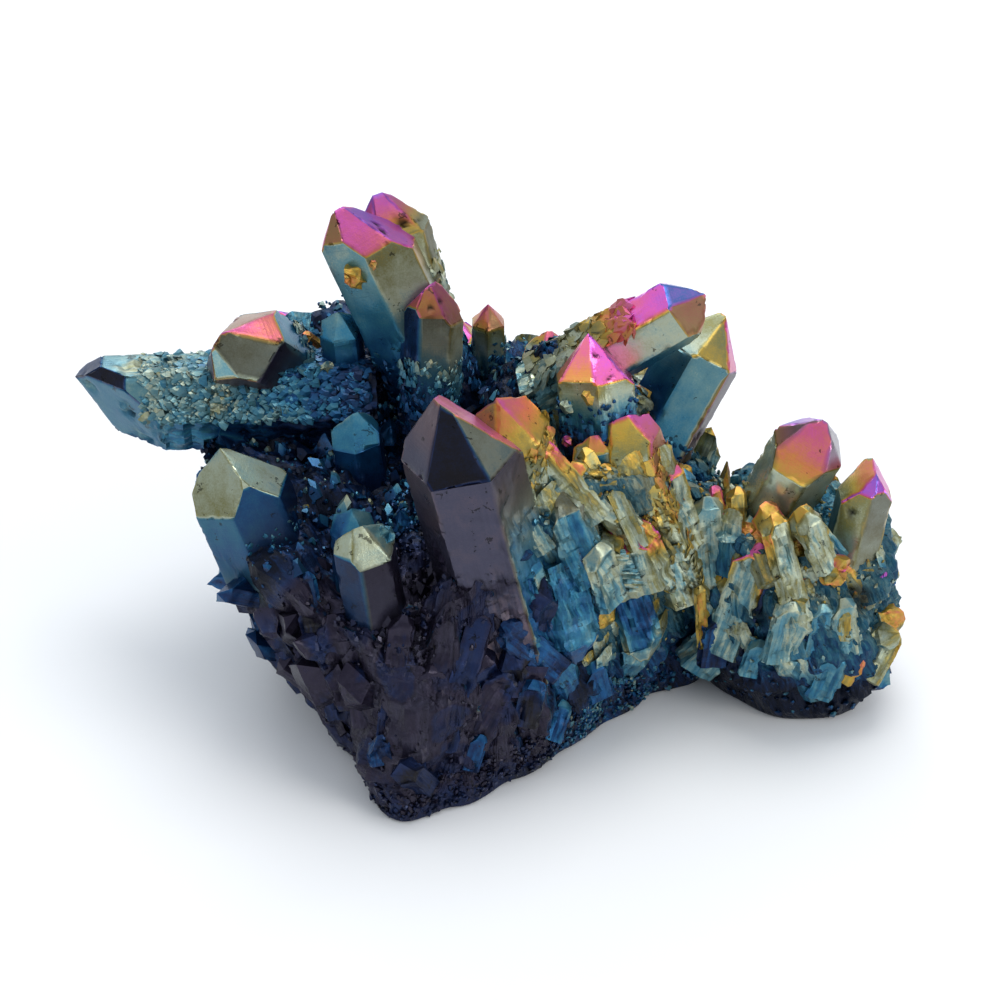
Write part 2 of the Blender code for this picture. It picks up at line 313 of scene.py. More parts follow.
def addUp(tree, corner, start, parts, amounts):
    # a row of nodes: start, and each named part times its amount
    total = start
    for step, (name, amount) in enumerate(amounts.items()):
        place = (corner[0] + 150 * step, corner[1])
        total = mathNode(tree, "MULTIPLY_ADD", place, parts[name], amount, total)
    return total


filmGroup = {
    # inputs and what they are when nothing is set
    "inputs": {
        "Film": 0.3, "Dusk": 0.0, "Skin": 0.0, "Growth": 0.0, "Hollow": 0.0, "Mottle": 0.15,
        "Grain Shift": 0.3, "Streaks": 0.2, "Facet Shift": 0.1, "Glitter": 0.5},
    "outputs": {"Color": "Color", "Roughness": "Float", "Height": "Float", "Tilt": "Vector"},
    # noise scales per metre, or per millimetre on the strands and the growth
    "clouds": 420.0, "crust": 1400.0, "dust": 5200.0, "pits": 620.0,
    "growth": 5.0, "grains": 2.2, "strands": 1.7,
    "pitWarp": 0.0030,  # metres by which the pits are pushed out of round
    "pitsLeftOut": 0.62,  # the share of cells that hold no pit
    "pitSize": (0.50, -0.06),  # by the clouds
    "crustedStreaks": (0.85, 0.15),  # streaks show on crust, and a little on clean faces
    "grainTones": (0.6, -0.3),
    "dustTones": (0.08, -0.04),
    "facetWay": (0.75, 0.15, 0.60),  # the Facet Shift grows on faces turned this way
    "light": (0.32, 1.08),  # crust is this much lighter than a clean face
    "darkest": 0.08,
    "hollowShade": -0.94,
    "shade": {"gap": -0.60, "streak": 1.1, "pit": -0.72},
    "smoothest": 0.20,
    "roughness": {"clouds": 0.22, "Skin": 0.16, "Hollow": 0.5},
    "height": {"gap": -1.1, "steps": 0.22, "dust": 0.22, "pit": -0.9, "streak": 2.2},
}


def openFilmGroup():
    group = bpy.data.node_groups.new("auraFilm", "ShaderNodeTree")
    face = group.interface
    for name, default in filmGroup["inputs"].items():
        socket = face.new_socket(name=name, in_out="INPUT", socket_type="NodeSocketFloat")
        socket.default_value = default
    face.new_socket(name="Strand", in_out="INPUT", socket_type="NodeSocketVector")
    for name, kind in filmGroup["outputs"].items():
        face.new_socket(name=name, in_out="OUTPUT", socket_type="NodeSocket" + kind)
    entry = addNode(group, "NodeGroupInput", (-1700, 0)).outputs
    result = addNode(group, "NodeGroupOutput", (1100, 0)).inputs
    return group, entry, result


def filmPits(group, spot, crust, clouds):
    # pits and specks, sparse and round
    push = vectorNode(group, "SCALE", (-1650, -1300), crust.node.outputs["Color"],
                      scale=filmGroup["pitWarp"])
    warped = vectorNode(group, "ADD", (-1550, -1400), spot, push)
    pits, number = cellNode(group, (-1400, -1300), warped, filmGroup["pits"])
    chosen = mathNode(group, "GREATER_THAN", (-950, -1300), number, filmGroup["pitsLeftOut"])
    reach = mathNode(group, "MULTIPLY_ADD", (-950, -1450), clouds, *filmGroup["pitSize"])
    inside = mathNode(group, "LESS_THAN", (-750, -1400), pits["Distance"], reach)
    return mathNode(group, "MULTIPLY", (-550, -1350), chosen, inside)


def filmStreaks(group, entry):
    # streaks that run along the growth of a crusted face
    strands = noiseNode(group, (-1400, -1700), entry["Strand"], filmGroup["strands"], 4.0)
    centred = mathNode(group, "SUBTRACT", (-1200, -1700), strands, 0.5)
    shown = mathNode(group, "MULTIPLY_ADD", (-1200, -1850), entry["Skin"],
                     *filmGroup["crustedStreaks"])
    return mathNode(group, "MULTIPLY", (-1000, -1700), centred, shown)


def filmColour(group, entry, parts, grainTone, normal):
    # the film's place on its run, and the colour there
    clouds = mathNode(group, "SUBTRACT", (-1250, 0), parts["clouds"], 0.5)
    clouds = mathNode(group, "MULTIPLY", (-1100, 0), clouds, entry["Mottle"])
    crust = mathNode(group, "SUBTRACT", (-1250, -250), parts["crust"], 0.5)
    tone = mathNode(group, "MULTIPLY_ADD", (-1150, -350), grainTone, *filmGroup["grainTones"])
    grains = mathNode(group, "ADD", (-1000, -250), crust, tone)
    grains = mathNode(group, "MULTIPLY", (-900, -250), grains, entry["Grain Shift"])
    grains = mathNode(group, "MULTIPLY", (-750, -250), grains, entry["Skin"])
    dust = mathNode(group, "MULTIPLY_ADD", (-1100, -500), parts["dust"], *filmGroup["dustTones"])
    streaks = mathNode(group, "MULTIPLY", (-800, -1700), parts["streak"], entry["Streaks"])
    film = entry["Film"]
    for step, shift in enumerate((clouds, grains, dust, streaks)):
        film = mathNode(group, "ADD", (-600 + 130 * step, 0), film, shift)
    facing = vectorNode(group, "DOT_PRODUCT", (-1400, 250), normal, filmGroup["facetWay"])
    facet = mathNode(group, "MULTIPLY", (-1100, 250), facing, entry["Facet Shift"])
    lit = mathNode(group, "ADD", (-150, 150), film, facet)
    clean = rampNode(group, (50, 250), filmStops, lit)
    dusky = rampNode(group, (50, -50), duskStops, film)
    return mixColours(group, (350, 100), entry["Dusk"], clean, dusky)


def filmTilt(group, entry, grains):
    # each grain of the crust is turned a little, and glitters
    tilt = vectorNode(group, "SUBTRACT", (300, -1150), grains["Color"], (0.5, 0.5, 0.5))
    amount = mathNode(group, "MULTIPLY", (300, -1350), entry["Skin"], entry["Glitter"])
    return vectorNode(group, "SCALE", (500, -1150), tilt, scale=amount)


def buildFilmGroup():
    # Film and Dusk place a point on the colours' runs, Dusk mixing in the shaded side's run of painted
    # shade and muted tints; Skin is 0 on clean faces and 1 on crust;
    # the shading layer darkens the colour with painted shade in pits and clefts, and below 0 brightens
    # it with painted light
    group, entry, result = openFilmGroup()
    place = addNode(group, "ShaderNodeTexCoord", (-1700, -400)).outputs
    spot = place["Object"]
    parts = {
        "Skin": entry["Skin"],
        "Hollow": entry["Hollow"],
        "clouds": noiseNode(group, (-1400, 0), spot, filmGroup["clouds"], 4.0),
        "crust": noiseNode(group, (-1400, -250), spot, filmGroup["crust"], 3.0),
        "dust": noiseNode(group, (-1400, -500), spot, filmGroup["dust"], 2.0),
        "steps": noiseNode(group, (-1400, -750), entry["Growth"], filmGroup["growth"], 3.0, "1D"),
    }
    grains, grainTone = cellNode(group, (-1400, -1000), entry["Strand"], filmGroup["grains"])
    parts["gap"] = mathNode(group, "MULTIPLY", (-300, -700), grains["Distance"], entry["Skin"])
    parts["pit"] = filmPits(group, spot, parts["crust"], parts["clouds"])
    parts["streak"] = filmStreaks(group, entry)
    blend = filmColour(group, entry, parts, grainTone, place["Normal"])
    # grain boundaries and pits are darker
    light = mathNode(group, "MULTIPLY_ADD", (-300, -850), entry["Skin"], *filmGroup["light"])
    shade = addUp(group, (-150, -700), light, parts, filmGroup["shade"])
    shade = mathNode(group, "MAXIMUM", (300, -700), shade, filmGroup["darkest"])
    # painted shade, or painted light below 0, from the shading layer
    hollow = mathNode(group, "MULTIPLY_ADD", (200, -550), entry["Hollow"],
                      filmGroup["hollowShade"], 1.0)
    shade = mathNode(group, "MULTIPLY", (450, -650), shade, hollow)
    feed(group, result["Color"], vectorNode(group, "SCALE", (600, 0), blend, scale=shade))
    feed(group, result["Roughness"], addUp(
        group, (300, -350), filmGroup["smoothest"], parts, filmGroup["roughness"]))
    relief = mathNode(group, "MULTIPLY", (150, -900), parts["crust"], entry["Skin"])
    feed(group, result["Height"], addUp(group, (300, -900), relief, parts, filmGroup["height"]))
    feed(group, result["Tilt"], filmTilt(group, entry, grains))
    return group


materialLooks = {
    "crystalFilm": {
        "Facet Shift": 0.0, "Mottle": 0.16, "Grain Shift": 0.12, "Streaks": 0.18, "Glitter": 0.35,
        "bump": 0.6, "bumpDepth": 0.10, "metallic": 0.68, "coat": 0.14, "coatRoughness": 0.14},
    "druseFilm": {
        "Facet Shift": 0.07, "Mottle": 0.16, "Grain Shift": 0.10, "Streaks": 0.30, "Glitter": 0.40,
        "bump": 0.6, "bumpDepth": 0.12, "metallic": 0.68, "coat": 0.20, "coatRoughness": 0.15},
    "matrixFilm": {
        "Facet Shift": 0.06, "Mottle": 0.18, "Grain Shift": 0.10, "Streaks": 0.30, "Glitter": 0.5,
        "bump": 0.9, "bumpDepth": 0.16, "metallic": 0.65, "coat": 0.12, "coatRoughness": 0.2},
}


def buildAuraMaterial(name, group, look):
    material = bpy.data.materials.new(name)
    material.use_nodes = True
    tree = material.node_tree
    links = tree.links
    shader = tree.nodes["Principled BSDF"]
    aura = addNode(tree, "ShaderNodeGroup", (-700, 100), node_tree=group)
    for row, layer in enumerate(("film", "dusk", "skin", "growth", "hollow")):
        source = addNode(tree, "ShaderNodeAttribute", (-1000, 300 - row * 200), attribute_name=layer)
        links.new(source.outputs["Fac"], aura.inputs[layer.capitalize()])
    strand = addNode(tree, "ShaderNodeAttribute", (-1000, -700), attribute_name="strand")
    links.new(strand.outputs["Vector"], aura.inputs["Strand"])
    for label in ("Mottle", "Grain Shift", "Streaks", "Facet Shift", "Glitter"):
        aura.inputs[label].default_value = look[label]
    links.new(aura.outputs["Color"], shader.inputs["Base Color"])
    links.new(aura.outputs["Roughness"], shader.inputs["Roughness"])
    bump = addNode(tree, "ShaderNodeBump", (-450, -250))
    bump.inputs["Strength"].default_value = look["bump"]
    bump.inputs["Distance"].default_value = look["bumpDepth"] * mm
    links.new(aura.outputs["Height"], bump.inputs["Height"])
    tilted = vectorNode(tree, "ADD", (-300, -400), bump.outputs["Normal"], aura.outputs["Tilt"])
    steady = vectorNode(tree, "NORMALIZE", (-150, -400), tilted)
    links.new(steady, shader.inputs["Normal"])
    shader.inputs["Metallic"].default_value = look["metallic"]
    shader.inputs["Specular IOR Level"].default_value = 0.3
    shader.inputs["Coat Weight"].default_value = look["coat"]
    shader.inputs["Coat Roughness"].default_value = look["coatRoughness"]
    return material


# The dusky side of the cluster, where shade is painted in with its own purple-grey tone, in millimetres
# before the centre shift.
paintedShadeZone = {
    "centre": (-9.0, -24.0, 12.0), "near": 12.0, "far": 26.0,
    "way": (-0.45, -0.85, 0.1), "turned": (-0.45, 0.35),
    # its ground is purple-grey with deep blue patches: places on the shaded side's run
    "tone": 0.44, "patches": 0.24, "patchSize": 4.5,
    "blue": 0.26, "bluePatches": (0.14, 0.30), "low": 0.20, "lowHeights": (6.0, 0.0),
}


def paintedShadeAt(points, normals):
    # painted shade: points in the zone whose faces turn to the left front
    reach = np.linalg.norm(points - np.array(paintedShadeZone["centre"]), axis=1)
    inside = 1.0 - ease(reach, paintedShadeZone["near"], paintedShadeZone["far"])
    way = np.array(paintedShadeZone["way"])
    turned = ease(normals @ (way / np.linalg.norm(way)), *paintedShadeZone["turned"])
    return inside * turned


def paintedShadeTone(points):
    patch = noiseField(points, paintedShadeZone["patchSize"], (3.0, 1.0, 8.0))
    blue = paintedShadeZone["blue"] * ease(patch, *paintedShadeZone["bluePatches"])
    low = paintedShadeZone["low"] * ease(points[:, 2], *paintedShadeZone["lowHeights"])
    return paintedShadeZone["tone"] + paintedShadeZone["patches"] * patch - blue - low


# The matrix's smooth form, as in the solid.
matrixForms = {
    "wedge": {
        "centre": (-4.0, 0.0), "valley": 26.0, "belly": 0.8, "floor": 0.0,
        "directions": (
            (-102, 27.7, 22.0, 19), (-90, 24.7, 20.0, 24), (-72, 21.0, 17.5, 29),
            (-51, 19.0, 17.0, 32), (-36, 19.0, 18.5, 33), (-15, 21.5, 22.5, 31),
            (-4, 27.0, 29.0, 26), (12, 27.0, 30.0, 22), (32, 24.0, 28.0, 25),
            (62, 22.0, 25.0, 28), (95, 21.0, 24.0, 27), (122, 21.0, 25.0, 34),
            (150, 19.0, 28.5, 30), (178, 17.0, 27.5, 28), (196, 15.0, 27.0, 27),
            (212, 16.5, 24.5, 24), (236, 19.5, 22.5, 20)),
        "segments": 300, "rings": 130},
    "lobe": {
        "centre": (33.0, -1.0), "valley": 22.0, "belly": 2.2, "floor": 0.0,
        "directions": (
            (-90, 8.4, 8.2, 22), (-45, 9.4, 9.0, 20), (0, 8.4, 9.4, 20), (50, 7.4, 8.5, 21),
            (90, 7.5, 8.0, 21), (180, 9.0, 10.0, 22), (225, 7.6, 8.4, 22)),
        "segments": 130, "rings": 90},
    "ridge": {
        "centre": (7.0, 5.0), "valley": 40.0, "belly": 0.0, "floor": 14.0,
        "directions": (
            (0, 11.0, 9.5, 33), (90, 11.0, 7.0, 32), (180, 9.5, 8.0, 33), (270, 6.0, 4.0, 33)),
        "segments": 120, "rings": 70},
}
coarseLump = (2.0, 6.5)  # height and spacing, millimetres
fineLump = (0.9, 2.4)
footShare = 0.08  # of the matrix's sphere, for the flat foot
wallShare = 0.60  # of what is left above the foot, for the walls
normalStep = 0.02  # in levels, for the slope of the matrix's form
topLevel = 1.95


def around(directions, angle):
    count = len(directions)
    for index in range(count):
        start = directions[index]
        end = directions[(index + 1) % count]
        span = (end[0] - start[0]) % 360
        along = (angle - start[0]) % 360
        if along <= span:
            share = along / span
            share = share * share * (3 - 2 * share)
            return [start[part] + (end[part] - start[part]) * share for part in (1, 2, 3)]
    return list(directions[0][1:])


def matrixPoint(form, angle, level):
    # level 0 is the foot's edge, 1 the rim and 2 the middle of the top
    foot, rim, height = around(form["directions"], angle)
    if level <= 1:
        radius = foot + (rim - foot) * level + form["belly"] * math.sin(math.pi * level)
        z = form["floor"] + (height - form["floor"]) * level
    else:
        inward = level - 1
        radius = rim * (1 - inward)
        z = height + (form["valley"] - height) * inward * inward * (3 - 2 * inward)
    turn = math.radians(angle)
    x = form["centre"][0] + radius * math.cos(turn)
    y = form["centre"][1] + radius * math.sin(turn)
    return Vector((x, y, z))


def matrixNormal(form, angle, level):
    low = max(level - normalStep, 0.0)
    high = min(level + normalStep, topLevel)
    across = matrixPoint(form, angle + 1, level) - matrixPoint(form, angle - 1, level)
    along = matrixPoint(form, angle, high) - matrixPoint(form, angle, low)
    return across.cross(along).normalized()


def lumps(point):
    coarse = noise.noise(point / coarseLump[1]) * coarseLump[0]
    fine = noise.noise(point / fineLump[1] + Vector((31, 7, 19))) * fineLump[0]
    return coarse + fine


def lumpyPoint(form, angle, level):
    point = matrixPoint(form, angle, level)
    out = matrixNormal(form, angle, max(level, 0.05))
    return point + out * lumps(point) * min(1.0, level * 4), out


groundLooks = {
    # the matrix and its druse: places on the film scale, and where each begins and ends in
    # millimetres or levels
    "start": 0.10, "rise": 0.30, "riseAcross": (-3.0, 9.0),
    "footShare": (0.40, 0.60), "footHeights": (1.0, 15.0), "patches": 0.10, "patchSize": 5.0,
    "crest": 0.11, "crestHeights": (20.0, 34.0), "crestAcross": (2.0, 12.0),
    "valley": 0.095, "valleyLevels": (1.0, 1.25), "valleyAcross": (22.0, 28.0),
    "behind": 0.24, "behindDepths": (4.0, 16.0), "behindLevels": (1.0, 1.2), "behindShare": 0.7,
    "left": 0.08, "leftAcross": (-26.0, -14.0), "leftDepths": (-4.0, 6.0), "leftShare": 0.9,
    "under": 0.03, "underAcross": (22.0, 28.0), "underHeights": (3.0, 7.0),
    # the two runs of colour meet in deep blue: shares of the dusk where each step is made
    "seam": 0.10, "toSeam": (0.0, 0.35), "fromSeam": (0.40, 0.70), "change": (0.25, 0.50),
}


def groundFilm(points, level):
    look = groundLooks
    x, y, z = points.T
    patch = noiseField(points, look["patchSize"], (6.0, 2.0, 4.0))
    film = look["start"] + look["rise"] * ease(x, *look["riseAcross"])
    least, more = look["footShare"]
    film = film * (least + more * ease(z, *look["footHeights"])) + patch * look["patches"]
    film = film + look["crest"] * ease(z, *look["crestHeights"]) * ease(x, *look["crestAcross"])
    valley = ease(level, *look["valleyLevels"]) * (1.0 - ease(x, *look["valleyAcross"]))
    film = film + (look["valley"] - film) * valley
    behind = ease(y, *look["behindDepths"]) * (1.0 - ease(level, *look["behindLevels"]))
    film = film + (look["behind"] - film) * behind * look["behindShare"]
    left = (1.0 - ease(x, *look["leftAcross"])) * (1.0 - ease(y, *look["leftDepths"]))
    film = film + (look["left"] - film) * left * look["leftShare"]
    under = ease(x, *look["underAcross"]) * (1.0 - ease(z, *look["underHeights"]))
    return film + (look["under"] - film) * under


shadowSpots = (
    # the deepest clefts: place and reach, millimetres
    ((29.0, -9.0, 15.0), 3.2), ((39.5, -8.5, 15.8), 3.0), ((22.6, -6.0, 22.0), 2.2),
    ((17.6, -8.6, 20.5), 2.4), ((7.0, -12.5, 30.0), 2.6), ((19.6, -4.0, 31.0), 2.4),
    ((-14.5, 4.5, 27.0), 3.4),
)
deepest = 0.85


def shadowAt(points):
    dark = np.zeros(len(points))
    for place, reach in shadowSpots:
        away = np.linalg.norm(points - np.array(place), axis=1) / reach
        dark = np.maximum(dark, deepest * (1.0 - ease(away, 0.35, 1.0)))
    return dark


def shadeGround(points, normals, level):
    dusk = paintedShadeAt(points, normals)
    film = groundFilm(points, level)
    film = film + (groundLooks["seam"] - film) * ease(dusk, *groundLooks["toSeam"])
    film = film + (paintedShadeTone(points) - film) * ease(dusk, *groundLooks["fromSeam"])
    return film, ease(dusk, *groundLooks["change"])


def groundShade(root, out, level):
    # the same at one place
    film, dusk = shadeGround(np.array([root]), np.array([out]), np.array([level]))
    return film[0], dusk[0]


matrixLooks = {
    # chips: flat broken faces; ribs: laths that run up the walls, leaning to the left
    "wedge": {"chip": 2.2, "chipHeight": 0.8, "rib": 2.3, "ribHeight": 0.9},
    "lobe": {"chip": 1.8, "chipHeight": 0.8, "rib": 1.9, "ribHeight": 0.8},
    "ridge": {"chip": 1.4, "chipHeight": 0.7, "rib": 1.6, "ribHeight": 0.6},
}
ribWay = Vector((-0.36, -0.08, 0.93)).normalized()
strandSqueeze = 0.14  # streaks are this much finer across than along
nearCorner = Vector((-9.0, -28.0, -6.0))  # the shaded wall's ribs fan out from here
fanEnds = (-6.0, 4.0)  # across the front, where the fan gives way to straight ribs
matrixFinish = {
    "calm": 0.5, "calmCorner": (-3.0, -8.0),  # chips are shallower to the front left of this
    "ribSqueeze": 0.80, "fineRib": 0.25, "ribLift": 0.4,
    "holdFoot": 6, "holdTop": 8,  # relief fades this steeply towards the foot and the middle
    # the next two rows hold painted shade: the clean run's film lowered where the matrix shows between
    # the druse, and the walls darkened in their clefts
    "cleanRunShade": 0.12, "duskSkin": 0.45, "crease": 22,
    "clefts": (0.45, 0.35), "cleftLevels": (0.1, 0.3, 1.0, 1.1),
}


noise.seed_set(11)  # without it, noise_vector changes from run to run


def chips(point, size, tilt):
    # one tilted plane for each cell
    cell = noise.voronoi(point / size)[1][0]
    slope = noise.noise_vector(cell * 3.1 + Vector((5, 9, 2)))
    return (point / size - cell).dot(slope) * tilt + noise.noise(cell * 2.3) * tilt * 0.5


def ribDirection(point):
    fan = (point - nearCorner).normalized()
    share = float(ease(np.array(point.x), *fanEnds))
    return fan.lerp(ribWay, share).normalized()


def growthRibs(point, way, size, height):
    squeezed = point - way * point.dot(way) * matrixFinish["ribSqueeze"]
    coarse = 1.0 - 2.0 * abs(noise.noise(squeezed / size))
    fine = 1.0 - 2.0 * abs(noise.noise(squeezed / size * 3.1 + Vector((4, 4, 4))))
    return (coarse + fine * matrixFinish["fineRib"] - matrixFinish["ribLift"]) * height


def reliefHold(level):
    atFoot = min(1.0, level * matrixFinish["holdFoot"])
    return atFoot * min(1.0, (2.0 - level) * matrixFinish["holdTop"])


def matrixRelief(name, point):
    look = matrixLooks[name]
    right, back = matrixFinish["calmCorner"]
    calm = matrixFinish["calm"] if name == "wedge" and point.x < right and point.y < back else 1.0
    relief = chips(point, look["chip"], look["chipHeight"]) * calm
    return relief + growthRibs(point, ribDirection(point), look["rib"], look["ribHeight"])


def shapeMatrix(name, sphere):
    # each point of the sphere goes to the flat foot, the walls or the top
    form = matrixForms[name]
    shaped = np.empty_like(sphere)
    strands = np.empty_like(sphere)
    levels = np.zeros(len(sphere))
    centre = Vector((*form["centre"], form["floor"]))
    for index, (x, y, z) in enumerate(sphere):
        rise = math.asin(max(-1.0, min(1.0, z))) / math.pi + 0.5
        angle = math.degrees(math.atan2(y, x))
        if rise < footShare:
            point = matrixPoint(form, angle, 0.0).lerp(centre, 1.0 - rise / footShare)
        else:
            share = (rise - footShare) / (1 - footShare)
            inward = 1 + (share - wallShare) / (1 - wallShare)
            level = share / wallShare if share < wallShare else inward
            levels[index] = level
            point, out = lumpyPoint(form, angle, level)
            point = point + out * matrixRelief(name, point) * reliefHold(level)
            point.z = max(point.z, form["floor"])
        way = ribDirection(point)
        strands[index] = point - way * point.dot(way) * (1.0 - strandSqueeze)
        shaped[index] = point
    return shaped, strands, levels


def buildMatrix(name, material):
    form = matrixForms[name]
    deselectAll()
    bpy.ops.mesh.primitive_uv_sphere_add(
        segments=form["segments"], ring_count=form["rings"], radius=1.0, location=(0, 0, 0))
    piece = bpy.context.object
    piece.name = name + "Matrix"
    shaped, strands, levels = shapeMatrix(name, meshVectors(piece.data, "co"))
    movePoints(piece.data, shaped)
    film, dusk = shadeGround(shaped, meshVectors(piece.data, "normal"), levels)
    # painted shade: the walls are darkened in their clefts, and the clean run's film is lowered where
    # the matrix shows between the druse
    deep, less = matrixFinish["clefts"]
    low, high, top, over = matrixFinish["cleftLevels"]
    clefts = (deep - less * dusk) * ease(levels, low, high) * (1.0 - ease(levels, top, over))
    storeLayers(
        piece.data, strands, film=film - matrixFinish["cleanRunShade"] * (1.0 - dusk), dusk=dusk,
        skin=1.0 - matrixFinish["duskSkin"] * dusk, hollow=np.maximum(clefts, shadowAt(shaped)))
    print("matrix", name, len(piece.data.vertices))
    return placePiece(piece, shaped, material, matrixFinish["crease"])
